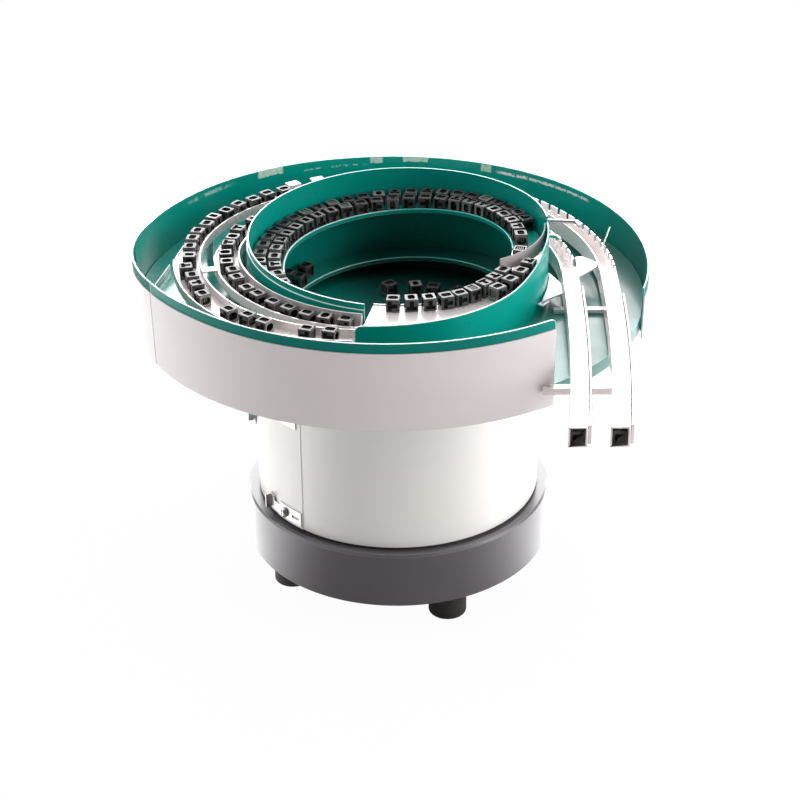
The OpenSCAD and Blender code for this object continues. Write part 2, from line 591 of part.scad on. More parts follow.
// Side rails clipped along the outer side of each chute, starting at y0
rail_gap = 0.5;
rail_t = 2;
rail_end = 4 - chute_len;
module side_rail(c, drift, y0) let (x = c[1] + rail_gap)
  skin([for (y = concat([y0], [for (y = run_y) if (y < y0 - 5 && y > rail_end) y], [rail_end]))
    strip_ring(y, x, x + rail_t, lane_z1 - 1, chute_top + 0.6, drift)]);
module chute_side_rails() color([0.92, 0.92, 0.91]) lanes_at() {
  side_rail(chute1, drift1, -36);
  side_rail(chute2, drift2, -50);
}
// Pins that clip the side rails to the chutes
module rail_pins() color([0.7, 0.7, 0.72]) lanes_at()
  for (q = [[chute1[1], drift1], [chute2[1], drift2]]) for (y = [-76:-20:rail_end])
    translate([chute_x(y, q[0], q[1]) + rail_gap*0.3, y, chute_top - 2.4]) rotate([0, 90, 0])
      cylinder(d = 1.6, h = rail_gap*0.4, $fn = 16);

// Posts that carry the lanes on the pan floor
module lane_posts() color([0.85, 0.85, 0.84]) lanes_at()
  for (s = [14, 60, 100, 140, 180, 220]) rotate([0, 0, lane_a(s)])
    for (r = [lane_r(lane1_in, lane1_out, s), lane_r(lane2_in, lane2_out, s)])
      translate([r, 0, pan_z + 0.02]) cylinder(d = 6, h = lane_floor(s) - lane_t - pan_z - 0.3, $fn = 32);

// Tab that ties the two lanes together on the left
bridge_s = 66;
module lane_bridge() color([0.93, 0.93, 0.92])
  let (u0 = lookup(bridge_s, lane1_out) - lane_t, u1 = lookup(bridge_s, lane2_in) + lane_t)
    lanes_at() rotate([0, 0, lane_a(bridge_s)])
      translate([u0, -4, lane_floor(bridge_s) + guard_h + 0.02]) cube([u1 - u0, 8, 1.2]);

// Flags that hold the outer lane at the rear
flag_w = 11;
flag_t = 1.2;
module lane_hangers() color([0.94, 0.94, 0.93]) lanes_at() for (s = [136, 144.5])
  rotate([0, 0, lane_a(s)])
    translate([lookup(s, lane2_in) - flag_t - 0.4, -flag_w/2, lane_floor(s) - 1]) {
      cube([flag_t, flag_w, 16]);
      translate([0, 0, 16]) cube([9, flag_w, flag_t]);
    }

// Plate between the lanes
module lane_gusset() color([0.9, 0.9, 0.89]) translate([lane_x, 0, chute_top - 2]) linear_extrude(1.4)
  polygon([[chute1[1] + 0.2, 20], [chute1[1] + 6, 21], [chute2[0] - 0.7, 10], [chute2[0] - 0.7, 2],
    [chute1[1] + 0.2, -17]]);

// Filler plate between the front wall and the inner chute, and its slotted bracket
filler_in = front_r + sheet_t + 0.8;
filler_x = lane_x + chute1[0] - 0.35;
function bowl_pt(a, r) = [bowl_x, 0] + at(a, r);
module lane_filler() color([0.72, 0.74, 0.73]) translate([0, 0, lane_z1 + 6]) linear_extrude(1.4)
  polygon([bowl_pt(0.9, filler_in), [filler_x, -18], [filler_x, -36], bowl_pt(-24.2, filler_in + 2),
    bowl_pt(-13.9, filler_in), bowl_pt(-4.6, filler_in)]);
module filler_bracket() color([0.8, 0.8, 0.8]) bowl_at() rotate([0, 0, -26.2])
  translate([filler_in + 4.6, 0, lane_z1 + 4.6]) rotate([0, 0, 78.2]) difference() {
    cube([10, 5.4, 1.3]);
    translate([2, 1.9, -1]) cube([6, 1.6, 4]);
  }

// Bars that carry the lanes: one on the pan floor, one in front of it
bar_top = lane_z1 - lane_t - 0.05;
module bar_upper() color([0.93, 0.93, 0.92])
  translate([lane_x + chute1[0] - 8.6, -49, pan_z + 0.05])
    cube([chute2[1] - chute1[0] + 10.1, 6.5, bar_top - pan_z - 0.05]);
// The lower bar is coped round the pan's white shell
bar_w = 7.2;
bar_h = 5;
bar_x = pan_x + pan_r*cos(gate_a0) - 9.3;
bar_y = pan_r*sin(gate_a0) - 3.5;
module bar_lower() color([0.88, 0.86, 0.86]) difference() {
  translate([bar_x, bar_y - bar_w, bar_top - bar_h])
    cube([lane_x + chute_x(bar_y, chute2[1], drift2) - bar_x, bar_w, bar_h]);
  translate([bar_x + 4.5, bar_y - bar_w/2, bar_top - bar_h - 1]) cylinder(d = 3.4, h = bar_h + 2, $fn = 32);
  translate([pan_x, 0, bar_top - bar_h - 1]) cylinder(r = pan_r + shell_t + 0.2, h = bar_h + 2, $fn = 180);
}

// Round rod along a bent path
module rod(path, d) {
  n = len(path) - 1;
  skin([for (i = [0:n]) let (w = path[min(i + 1, n)] - path[max(i - 1, 0)], u = cross(w, [0, 0, 1]),
      v = cross(u, w))
    [for (k = [0:11]) path[i] + d/2*(cos(30*k)*u/norm(u) + sin(30*k)*v/norm(v))]]);
}
// Bent wiper rods over the lanes, each from the outside of a wall
rod_d = 3.2;
function wipe(a, r, z) = [r*cos(a), r*sin(a), rim_hi + z];
module wiper_rods() color([0.8, 0.8, 0.81]) bowl_at() {
  rod([wipe(17, shell_r + 2.95, -15.5), wipe(13.2, shell_r + 29.2, -16), wipe(12.9, shell_r + 30, -16.2),
    wipe(11.2, shell_r + 31.3, -18)], rod_d);
  rod([wipe(3, front_r + 2.6, -16), wipe(2.3, front_r + 7.7, -16), wipe(2, front_r + 8.6, -16.2),
    wipe(0.6, front_r + 10.4, -17)], rod_d);
}
// Pin on a tooth of the outer lane, leaning toward the pan's wall
pin_s = lane_end - 3.66*comb_ds(chute2[1]);
module lane_pin() color([0.82, 0.82, 0.83]) let (u = lookup(pin_s, lane2_out) - lane_t/2,
    foot = u*lane_dir(pin_s), z = lane_floor(pin_s) + chute_h, gap = pan_r + pan_x - lane_x - u)
  lanes_at() rod([[foot[0], foot[1], z + 0.55], [foot[0] + gap/5, foot[1] + gap/3, z + 11.5]], 1.4);

// ---------- workpieces ----------
// Hollow square connector body; the window runs along axis ax
module workpiece(ax) translate([0, 0, wp/2]) difference() {
  cube(wp, center = true);
  rotate(ax == 0 ? [0, 90, 0] : ax == 1 ? [90, 0, 0] : [0, 0, 0])
    cube([wp_win, wp_win + 1, wp + 2], center = true);
}
rnd = rands(0, 1, 400, 7);
// A workpiece at angle a and radius r, base at z, turned by up to twist degrees
module placed(a, r, z, twist, turn_i, axis_i) rotate([0, 0, a]) translate([r, 0, z])
  rotate([0, 0, twist*(2*rnd[turn_i] - 1)]) workpiece(floor(rnd[axis_i]*3));
// Two rows against the wall, and the angle that one workpiece and its gap take up at radius r
row_out = bowl_r - 1.3 - wp/2;
row_in = row_out - wp - 1.5;
function queue_step(r, gap) = (wp + gap)/r*180/PI;
function highest(z0, z1) = max(z0, z1) + fit;
function on_track_z(s) = highest(track_z(s - 3.5), track_z(s + 3.5));

module track_row(s0, s1, r, seed) let (step = queue_step(r, 3.45))
  for (i = [0:floor((s1 - s0)/step)]) let (s = s0 + i*step)
    placed(track_a(s), r, on_track_z(s), 5, seed + 2*i, seed + 2*i + 1);
module workpieces_track() color([0.12, 0.12, 0.12]) bowl_at() {
  track_row(412, 613, row_in, 0);
  track_row(418, 598.5, row_out, 60);
}
module on_plate(a, r, i) placed(a, r, highest(exit_z(a - 3.8), exit_z(a + 3.8)), 3, i, i + 40);
module workpieces_plate() color([0.12, 0.12, 0.12]) bowl_at()
  let (step_in = queue_step(row_in, 1.4), step_out = queue_step(row_out + 0.6, 4.5)) {
    on_plate(-13, row_in, 30);
    for (i = [0:floor(57.5/step_in)]) on_plate(-34.5 - i*step_in - max(0, i - 5)*1.2, row_in - 0.2, i);
    for (i = [0:floor(30.1/step_out)]) on_plate(-24 - i*step_out, row_out + 0.6, i + 9);
  }
// stray is how much of the lane's play a workpiece may take up
module on_lane(tin, tout, s, i, stray)
  let (play = (lookup(s, tout) - lookup(s, tin))/2 - lane_t - wp/2 - 0.5)
    placed(lane_a(s), lane_r(tin, tout, s) + play*(2*rnd[i] - 1)*stray,
      highest(lane_floor(s - 3), lane_floor(s + 3)) + 0.05, 6*stray, i + 3, i + 7);
module workpieces_inner_lane() color([0.12, 0.12, 0.12]) lanes_at()
  for (s = [5, 12, 18.5, 26, 33, 41, 47, 56, 62, 69, 76, 84, 90, 98, 108, 120, 131, 140])
    on_lane(lane1_in, lane1_out, s, round(s), s < 16 ? 0.2 : 0.6);
module workpieces_outer_lane() color([0.12, 0.12, 0.12]) lanes_at()
  for (s = [7, 13.5, 26, 32, 38, 50, 56.5, 62, 68, 75, 81, 87, 92.5, 98.5, 104, 110, 116, 122, 128, 134,
      146, 154, 164])
    on_lane(lane2_in, lane2_out, s, round(s) + 30, 0.6);
module workpieces_chutes() color([0.12, 0.12, 0.12]) lanes_at()
  for (q = [[chute1, drift1], [chute2, drift2]]) for (k = [0:2]) let (y = 6.6 - chute_len + k*(wp + 1.2))
    translate([chute_x(y, (q[0][0] + q[0][1])/2, q[1]), y, lane_z1 + fit])
      rotate([0, 0, chute_turn(y, q[1])]) workpiece(2*(k % 2));
// Loose ones: [angle, distance in from the track's edge] on the floor, [angle, radius] on the track
floor_spots = [[174, 28.5], [160, 35.5], [98, 38.5], [74, 38.5], [58, 35.5], [40, 25.5], [16, 21.5]];
module workpieces_floor() color([0.12, 0.12, 0.12]) bowl_at() {
  for (q = floor_spots) let (r = track_r - q[1])
    placed(q[0], r, bowl_z + cone_h(r - 0.71*wp) + fit, 45, q[0], q[0] + 2);
  for (q = [[146.5, row_in + 0.2], [146, row_out - 0.2], [137, row_out - 4.6]])
    rotate([0, 0, q[0]]) translate([q[1], 0, on_track_z(track_a0 - q[0])]) rotate([0, 0, 3]) workpiece(1);
}

base_casting();
rubber_feet();
foot_studs();
cable_gland();
skirt_gasket();
skirt();
skirt_lap();
skirt_clamps();
skirt_screws();
spring_blocks_lower();
spring_clamps_lower();
spring_bolts_lower();
leaf_springs();
magnet_bracket();
magnet_core();
magnet_coil();
armature();
top_plate();
spring_blocks_upper();
spring_clamps_upper();
spring_bolts_upper();
centre_bolt();
bowl_floor();
bowl_shell();
bowl_wall();
front_wall();
lower_track();
upper_track();
track_plate();
deflector();
pan_floor();
pan_wall_rear();
pan_wall_front();
outer_shell_rear();
outer_shell_front();
pan_gussets();
floor_seam_strip();
inner_lane();
outer_lane();
chute_covers();
chute_side_rails();
rail_pins();
lane_posts();
lane_bridge();
lane_hangers();
lane_gusset();
lane_filler();
filler_bracket();
bar_upper();
bar_lower();
wiper_rods();
lane_pin();
workpieces_track();
workpieces_plate();
workpieces_inner_lane();
workpieces_outer_lane();
workpieces_chutes();
workpieces_floor();
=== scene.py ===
"""Finishes, lights and camera for a vibratory bowl feeder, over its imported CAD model."""
import json
import math

import bmesh
import bpy
from bpy.props import FloatProperty, FloatVectorProperty, PointerProperty
from mathutils import Matrix, Vector
from mathutils.geometry import tessellate_polygon


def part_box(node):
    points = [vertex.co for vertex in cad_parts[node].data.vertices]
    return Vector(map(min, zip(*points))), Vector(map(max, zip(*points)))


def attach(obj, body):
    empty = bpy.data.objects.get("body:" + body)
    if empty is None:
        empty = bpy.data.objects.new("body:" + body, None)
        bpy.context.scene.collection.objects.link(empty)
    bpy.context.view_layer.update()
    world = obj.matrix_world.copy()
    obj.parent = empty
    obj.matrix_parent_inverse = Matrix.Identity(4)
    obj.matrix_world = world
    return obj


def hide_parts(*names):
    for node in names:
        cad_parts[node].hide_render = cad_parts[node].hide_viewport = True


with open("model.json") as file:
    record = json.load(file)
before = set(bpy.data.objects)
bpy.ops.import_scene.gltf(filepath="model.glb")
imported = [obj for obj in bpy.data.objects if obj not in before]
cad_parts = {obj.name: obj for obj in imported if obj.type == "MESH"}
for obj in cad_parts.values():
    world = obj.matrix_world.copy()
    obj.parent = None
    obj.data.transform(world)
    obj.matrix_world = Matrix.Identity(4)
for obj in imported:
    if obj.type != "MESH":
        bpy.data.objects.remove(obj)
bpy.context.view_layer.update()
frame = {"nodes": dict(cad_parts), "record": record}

bl_info = {
    "name": "Bowl feeder finishes",
    "version": (1, 0, 0),
    "blender": (4, 5, 0),
    "location": "3D View > Sidebar > Feeder",
    "description": "Dresses the packed bowl feeder with paint, metal and plastic, and sets its stage",
    "category": "Object",
}

BODY_OF = {n: body for body, members in frame["record"]["behaviour"]["bodies"].items() for n in members}
MM = 0.001
WELD = 0.002 * MM


def node_box(name):
    """Centre, size, lowest and highest corner of a CAD node, in metres."""
    low, high = (Vector(v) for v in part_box(name))
    return (low + high) / 2, high - low, low, high


BOWL_CENTRE, BOWL_SIZE, BOWL_LOW, BOWL_HIGH = node_box("bowl_shell")
PAN_CENTRE, _, _, PAN_HIGH = node_box("pan_floor")
_, _, WALL_LOW, WALL_HIGH = node_box("pan_wall_rear")
WALL_AXIS = Vector((WALL_LOW.x + WALL_HIGH.y, 0.0, 0.0))
BOWL_RADIUS = BOWL_SIZE.x / 2
TRACK_EDGE = min((v.co.xy - BOWL_CENTRE.xy).length for v in frame["nodes"]["lower_track"].data.vertices)


# ---------------------------------------------------------------- settings

def colour(name, description, value):
    return FloatVectorProperty(name=name, description=description, default=value, subtype="COLOR", size=3,
                               min=0.0, max=1.0)


class FeederFinish(bpy.types.PropertyGroup):
    """Colours and small edge sizes of the feeder."""
    coat: colour("Bowl coat", "Coating of bowl, tracks and pan", (0.0, 0.335, 0.275))
    # Painted shade: the next colour is what the coat turns to where shade falls, low in the bowl and at the
    # right end of the rear wall.
    coat_painted_shade: colour("Bowl coat, stained", "Coating where oil and dust have settled", (0.012, 0.045, 0.040))
    # The next colour stands for rims where the coating is thin, and is also a painted highlight on them.
    coat_edge: colour("Coated edges", "Rims where the coating is thin and bright", (0.80, 0.93, 0.90))
    shell: colour("Outer paint", "Outer skins of the pan", (0.70, 0.652, 0.660))
    skirt: colour("Skirt paint", "Sheet skirt of the drive", (0.87, 0.835, 0.815))
    base: colour("Base metal", "Paint of the cast base", (0.118, 0.106, 0.118))
    lane: colour("Lane sheet", "Bright sheet of lanes and chutes", (0.95, 0.88, 0.882))
    workpiece: colour("Workpiece", "Plastic of the workpieces", (0.040, 0.037, 0.038))
    rubber: colour("Rubber", "Feet and gasket", (0.030, 0.025, 0.026))
    edge: FloatProperty(name="Edge radius", description="Rounding of sheet edges", default=0.45 * MM,
                        min=0.1 * MM, max=1.0 * MM, unit="LENGTH")
    cast_edge: FloatProperty(name="Casting radius", description="Rounding of cast and machined edges",
                             default=0.9 * MM, min=0.2 * MM, max=3.0 * MM, unit="LENGTH")


class FeederStage(bpy.types.PropertyGroup):
    """Camera and light of the stage."""
    lens: FloatProperty(name="Lens", description="Focal length", default=94.42, unit="CAMERA")
    distance: FloatProperty(name="Distance", description="Camera to aim point", default=1.72966, unit="LENGTH")
    aim: FloatProperty(name="Aim height", description="Height of the aim point", default=0.146, unit="LENGTH")
    pitch: FloatProperty(name="Pitch", description="How far the camera looks down",
                         default=math.radians(28.826), subtype="ANGLE")
    roll: FloatProperty(name="Roll", description="Tilt of the horizon", default=math.radians(-0.4995),
                        subtype="ANGLE")
    front: FloatProperty(name="Front level", description="Light level in front of the feeder", default=0.225)
    around: FloatProperty(name="Surround level", description="Light level beside and behind it", default=0.98)
    dark_front: FloatProperty(name="Front reflection", description="What gloss shows in front", default=0.10)
    back_light: FloatProperty(name="Back light", description="What gloss shows low behind it", default=6.0)
    floor_glow: FloatProperty(name="Floor glow", description="Floor level that gloss shows", default=2.15)
    side_lamps: FloatProperty(name="Side lamps", description="Power of the side softboxes", default=7.0,
                              unit="POWER")
    front_lamp: FloatProperty(name="Front lamp", description="Power of the softbox right of the camera",
                              default=13.0, unit="POWER")
    top_lamp: FloatProperty(name="Top lamp", description="Power of the overhead softbox", default=6.0,
                            unit="POWER")


def finish():
    """The colours and edge sizes in use."""
    return bpy.context.scene.feeder_finish


# ---------------------------------------------------------------- shader maths

class Field:
    """A number or colour over a surface. Arithmetic on it adds Math nodes."""

    def __init__(self, shader, socket):
        self.shader = shader
        self.socket = socket

    def _math(self, operation, *values):
        return self.shader.node("ShaderNodeMath", {"operation": operation}, dict(enumerate(values)))

    def __add__(self, other):
        return self._math("ADD", self, other)

    def __radd__(self, other):
        return self._math("ADD", other, self)

    def __sub__(self, other):
        return self._math("SUBTRACT", self, other)

    def __rsub__(self, other):
        return self._math("SUBTRACT", other, self)

    def __mul__(self, other):
        return self._math("MULTIPLY", self, other)

    def __rmul__(self, other):
        return self._math("MULTIPLY", other, self)

    def __truediv__(self, other):
        return self._math("DIVIDE", self, other)

    def sqrt(self):
        return self._math("SQRT", self)

    def step(self, low, high):
        """0 below low, 1 above high, smooth between."""
        settings = {"interpolation_type": "SMOOTHSTEP"}
        return self.shader.node("ShaderNodeMapRange", settings, {0: self, 1: low, 2: high, 3: 0.0, 4: 1.0})

    def between(self, low, high, soft):
        """1 between low and high, 0 outside, blended over soft on either side."""
        return self.step(low - soft, low + soft) * (1.0 - self.step(high - soft, high + soft))


class NodeTree:
    """A node tree under construction, of a material or of the world."""

    def __init__(self, tree):
        self.tree = tree

    def node(self, kind, settings=None, inputs=None, output=0):
        made = self.tree.nodes.new(kind)
        for key, value in (settings or {}).items():
            setattr(made, key, value)
        for key, value in (inputs or {}).items():
            self.feed(made.inputs[key], value)
        return Field(self, made.outputs[output])

    def feed(self, socket, value):
        if isinstance(value, Field):
            self.tree.links.new(value.socket, socket)
        elif socket.type == "RGBA":
            socket.default_value = (*list(value)[:3], 1.0)
        else:
            socket.default_value = value

    def mix(self, factor, first, second):
        inputs = {0: factor, 6: first, 7: second}
        return self.node("ShaderNodeMix", {"data_type": "RGBA"}, inputs, 2)

    def ray(self, kind):
        """1 for rays of this kind."""
        return self.node("ShaderNodeLightPath", {}, {}, f"Is {kind} Ray")


class Shader(NodeTree):
    """A material under construction."""

    def __init__(self, name):
        self.material = bpy.data.materials.new(name)
        self.material.use_nodes = True
        super().__init__(self.material.node_tree)
        self.surface = self.tree.nodes["Principled BSDF"]
        self._position = None

    @property
    def position(self):
        if self._position is None:
            self._position = self.node("ShaderNodeTexCoord", {}, {}, "Object")
        return self._position

    def xyz(self):
        split = self.node("ShaderNodeSeparateXYZ", {}, {0: self.position})
        outs = split.socket.node.outputs
        return Field(self, outs[0]), Field(self, outs[1]), Field(self, outs[2])

    def vector(self, x, y, z):
        return self.node("ShaderNodeCombineXYZ", {}, {0: x, 1: y, 2: z})

    def noise(self, scale, detail=3.0, rough=0.5, at=None):
        inputs = {"Vector": at or self.position, "Scale": scale, "Detail": detail, "Roughness": rough}
        return self.node("ShaderNodeTexNoise", {}, inputs)

    def bump(self, height, distance, strength=1.0):
        return self.node("ShaderNodeBump", {}, {"Strength": strength, "Distance": distance, "Height": height})

    def attribute(self, name):
        return self.node("ShaderNodeAttribute", {"attribute_name": name}, {}, "Fac")

    def set(self, **sockets):
        for key, value in sockets.items():
            self.feed(self.surface.inputs[key.replace("_", " ")], value)
        return self.material

    def turned(self, centre):
        """Distance from an upright axis through centre, and height: the two directions of turning marks."""
        x, y, z = self.xyz()
        dx = x - centre.x
        dy = y - centre.y
        return (dx * dx + dy * dy).sqrt(), z


MATERIALS = {}


def material(maker):
    """Each finish is made once, on first use."""
    if maker.__name__ not in MATERIALS:
        MATERIALS[maker.__name__] = maker()
    return MATERIALS[maker.__name__]


# ---------------------------------------------------------------- finishes

def coat_colour(s):
    """Green paint with painted shade: darker low inside the bowl, away from the light and least on its left
    side, with random blotches.
    """
    radius, z = s.turned(BOWL_CENTRE)
    x, y, _ = s.xyz()
    blotch = s.noise(14.0, 4.0, 0.55)
    # Painted shade: the coat turns towards the shade colour low inside the bowl, least on its left side; the
    # blotches add random tone.
    low = 1.0 - z.step(BOWL_LOW.z + 0.004, BOWL_HIGH.z + 0.004)
    shade_side = 0.16 + 0.84 * (x - BOWL_CENTRE.x).step(-0.085, -0.01)
    inside = 1.0 - radius.step(BOWL_RADIUS - 0.001, BOWL_RADIUS + 0.002)
    shade_and_blotch = (low * shade_side * inside * 0.66 + (blotch - 0.5) * 0.16 + 0.04).step(0.0, 0.85)
    paint = s.mix(shade_and_blotch, finish().coat, finish().coat_painted_shade)
    scuff = s.noise(60.0, 4.0, 0.7).step(0.68, 0.80)
    return s.mix(scuff * 0.06, paint, (0.20, 0.55, 0.50))


def coat_relief(s):
    """Turning marks round the bowl's axis, and the grain of the coating."""
    radius, z = s.turned(BOWL_CENTRE)
    marks = s.noise(1.0, 2.0, 0.5, at=s.vector(radius * 900.0, z * 900.0, 0.0))
    return s.bump(marks * 0.7 + s.noise(95.0, 3.0, 0.6), 0.00002, 0.35)


def green_coat():
    """Coating with faint turning marks, on walls and tracks."""
    s = Shader("Green coat")
    fine = s.noise(95.0, 3.0, 0.6)
    return s.set(Base_Color=coat_colour(s), Roughness=0.30 + (fine - 0.5) * 0.16, Specular_IOR_Level=0.15,
                 Coat_Weight=0.12, Coat_Roughness=0.08, Normal=coat_relief(s))


def floor_coat():
    """The same coating on the pan floor, polished by the parts and so glossier in cloudy patches."""
    s = Shader("Polished floor coat")
    cloud = s.noise(17.0, 4.0, 0.6)
    # Pale patches where the coating is rubbed thin, at random.
    pale_mask = s.noise(48.0, 5.0, 0.65).step(0.45, 0.70)
    x, _, _ = s.xyz()
    rubbed_side = 1.0 - x.step(-0.16, 0.10)
    # The floor is mixed towards a dark grey-green on its right side, from x = 0.06 m outwards.
    darker_right_side = x.step(0.06, 0.18)
    paint = s.mix(pale_mask * 0.25, coat_colour(s), (0.30, 0.52, 0.48))
    paint = s.mix(darker_right_side * (0.55 + cloud * 0.3), paint, (0.085, 0.12, 0.11))
    polish = 0.12 + cloud.step(0.35, 0.60) * 0.22 + rubbed_side * 0.66
    return s.set(Base_Color=paint, Roughness=0.30, Coat_Weight=polish, Coat_Roughness=0.10,
                 Normal=coat_relief(s))


def band_coat():
    """Coating of the low front wall, with painted shade: darker all along, darkest in the middle where it faces
    away from the light.
    """
    s = Shader("Band coat")
    x, _, _ = s.xyz()
    middle = x.step(-0.22, -0.08) * (1.0 - x.step(0.02, 0.16))
    paint = s.mix(0.34 + middle * 0.22, coat_colour(s), (0.0, 0.060, 0.050))
    return s.set(Base_Color=paint, Roughness=0.34, Specular_IOR_Level=0.12, Coat_Weight=0.05,
                 Normal=coat_relief(s))


# Rubbed patches of the rear wall: first and last angle in degrees, lowest and highest point in metres.
RUBBED_PATCHES = ((117.6, 124.6, 0.2755, 0.2865), (92.0, 95.2, 0.275, 0.290),
                  (80.5, 87.0, 0.276, 0.290), (64.4, 67.2, 0.273, 0.280))


def rear_coat():
    """Coating of the rear wall, with pale rubbed patches under its rim, a pale scuff there with a painted
    highlight on it, painted glints and sheen, and painted shade towards its right end.
    """
    s = Shader("Rubbed coat, painted glints and shade")
    x, y, z = s.xyz()
    turn = s.node("ShaderNodeMath", {"operation": "ARCTAN2"}, {0: y, 1: x - PAN_CENTRE.x}) * (180.0 / math.pi)
    grain = s.noise(150.0, 4.0, 0.7)
    ragged = s.noise(320.0, 3.0, 0.7)
    radius, _ = s.turned(WALL_AXIS)
    inner_face = 1.0 - radius.step(WALL_HIGH.y - 1.5 * MM, WALL_HIGH.y - 1.0 * MM)
    jag = ragged - 0.5
    rubbed = None
    for first, last, low, high in RUBBED_PATCHES:
        spot = (turn + jag * 1.4).between(first, last, 0.25) * (z + jag * 0.003).between(low, high, 0.0004)
        rubbed = spot if rubbed is None else rubbed + spot
    # A pale line under the rim: a scuff with a painted highlight on it.
    scuff_and_glint = turn.between(35.0, 62.5, 1.0) * (z + jag * 0.0042).between(0.2736, 0.2760, 0.0004)
    scuff_and_glint = scuff_and_glint * grain.step(0.36, 0.46)
    # Painted highlights: a faint pale line and a brighter sheen under the rim, left of the middle.
    faint = turn.between(96.0, 113.0, 1.5) * z.between(0.2738, 0.2752, 0.0005) * grain.step(0.48, 0.56)
    painted_sheen = turn.between(134.0, 146.0, 4.0) * z.between(0.2765, 0.2795, 0.0012) * grain.step(0.42, 0.55) * 0.6
    # Painted shade: towards the right end of the wall the coat turns to the shade colour, and is rougher and
    # less glossy there.
    shaded = 1.0 - turn.step(2.0, 40.0)
    paint = s.mix(shaded * 0.62, coat_colour(s), finish().coat_painted_shade)
    paint = s.mix((rubbed * (0.30 + ragged * 1.1)).step(0.45, 0.85) * inner_face, paint, (0.66, 0.80, 0.70))
    paint = s.mix((faint * 0.6 + painted_sheen) * inner_face, paint, (0.74, 0.95, 0.88))
    paint = s.mix(scuff_and_glint * inner_face, paint, (0.93, 0.91, 0.88))
    return s.set(Base_Color=paint, Roughness=0.30 + jag * 0.16 + shaded * 0.35,
                 Specular_IOR_Level=0.15, Coat_Weight=0.12 - shaded * 0.10, Coat_Roughness=0.08,
                 Normal=coat_relief(s))


def coated_edge():
    """Rim where the coating is thin: pale and glossy, green again where it survives; the paleness is partly a
    painted highlight, strongest on the left and front.
    """
    s = Shader("Coated edge")
    x, y, z = s.xyz()
    # Painted highlight: lit is high on the left and front, and with random rubbing it makes the rims pale
    # there.
    lit = 0.25 + 0.75 * (1.0 - (x + y * 0.9).step(-0.10, 0.13))
    pale_mask = (s.noise(26.0, 4.0, 0.6) * 0.5 + lit * 0.75).step(0.35, 0.85)
    tone = s.mix(pale_mask, (0.02, 0.50, 0.43), finish().coat_edge)
    return s.set(Base_Color=tone, Roughness=0.22, Coat_Weight=0.5, Coat_Roughness=0.08)


def shell_paint():
    """Pale satin paint with a trace of orange peel."""
    s = Shader("Outer paint")
    tone = s.mix(s.noise(5.0, 3.0), finish().shell, (0.72, 0.672, 0.68))
    peel = s.noise(420.0, 2.0)
    return s.set(Base_Color=tone, Roughness=0.38 + (s.noise(40.0) - 0.5) * 0.10, Coat_Weight=0.25,
                 Coat_Roughness=0.2, Normal=s.bump(peel, 0.00002, 0.25))


def skirt_paint():
    """Satin painted sheet; the rolling direction shows faintly."""
    s = Shader("Skirt paint")
    x, y, z = s.xyz()
    rolled = s.noise(1.0, 2.0, 0.5, at=s.vector(x * 160.0, y * 160.0, z * 6.0))
    tone = s.mix(s.noise(4.0, 3.0), finish().skirt, (0.83, 0.81, 0.785))
    return s.set(Base_Color=tone, Metallic=0.12, Roughness=0.33 + (rolled - 0.5) * 0.08,
                 Normal=s.bump(rolled, 0.00003, 0.2))


def base_metal():
    """Cast base, turned outside, under grey paint with a clear top coat."""
    s = Shader("Base metal")
    radius, z = s.turned(Vector((0, 0, 0)))
    turning = s.noise(1.0, 2.0, 0.6, at=s.vector(radius * 700.0, z * 1400.0, 0.0))
    grain = s.noise(260.0, 3.0)
    cloud = s.noise(9.0, 3.0)
    tone = s.mix(cloud, finish().base, (0.092, 0.083, 0.095))
    return s.set(Base_Color=tone, Roughness=0.34 + (cloud - 0.5) * 0.10 + (grain - 0.5) * 0.06,
                 Coat_Weight=0.8, Coat_Roughness=0.16,
                 Normal=s.bump(turning + grain * 0.5, 0.00002, 0.35))


def foot_rubber():
    """Moulded rubber with dust in its grain."""
    s = Shader("Foot rubber")
    dust = s.noise(70.0, 5.0, 0.7).step(0.50, 0.78)
    tone = s.mix(dust * 0.35, finish().rubber, (0.10, 0.09, 0.09))
    return s.set(Base_Color=tone, Roughness=0.72 - dust * 0.1, Normal=s.bump(s.noise(500.0), 0.00005, 0.4))


def plated_steel():
    """Zinc plated steel."""
    s = Shader("Plated steel")
    cloud = s.noise(120.0, 3.0)
    tone = s.mix(cloud, (0.80, 0.79, 0.78), (0.66, 0.66, 0.67))
    return s.set(Base_Color=tone, Metallic=1.0, Roughness=0.24 + cloud * 0.16,
                 Normal=s.bump(s.noise(700.0), 0.00001, 0.3))


def black_steel():
    """Blackened screws."""
    s = Shader("Black steel")
    cloud = s.noise(200.0, 3.0)
    return s.set(Base_Color=s.mix(cloud, (0.035, 0.035, 0.038), (0.075, 0.072, 0.075)), Metallic=0.8,
                 Roughness=0.36 + cloud * 0.14)


def machined_steel():
    """Milled blocks and the turned plate."""
    s = Shader("Machined steel")
    x, y, z = s.xyz()
    cut = s.noise(1.0, 2.0, 0.5, at=s.vector(x * 120.0, y * 1500.0, z * 300.0))
    return s.set(Base_Color=s.mix(s.noise(30.0), (0.56, 0.56, 0.57), (0.44, 0.44, 0.455)), Metallic=1.0,
                 Roughness=0.34 + (cut - 0.5) * 0.2, Normal=s.bump(cut, 0.00002, 0.3))


def gland_plastic():
    """Moulded polyamide."""
    s = Shader("Gland plastic")
    return s.set(Base_Color=s.mix(s.noise(90.0), (0.028, 0.028, 0.03), (0.045, 0.045, 0.047)), Roughness=0.5,
                 Normal=s.bump(s.noise(600.0), 0.00002, 0.3))


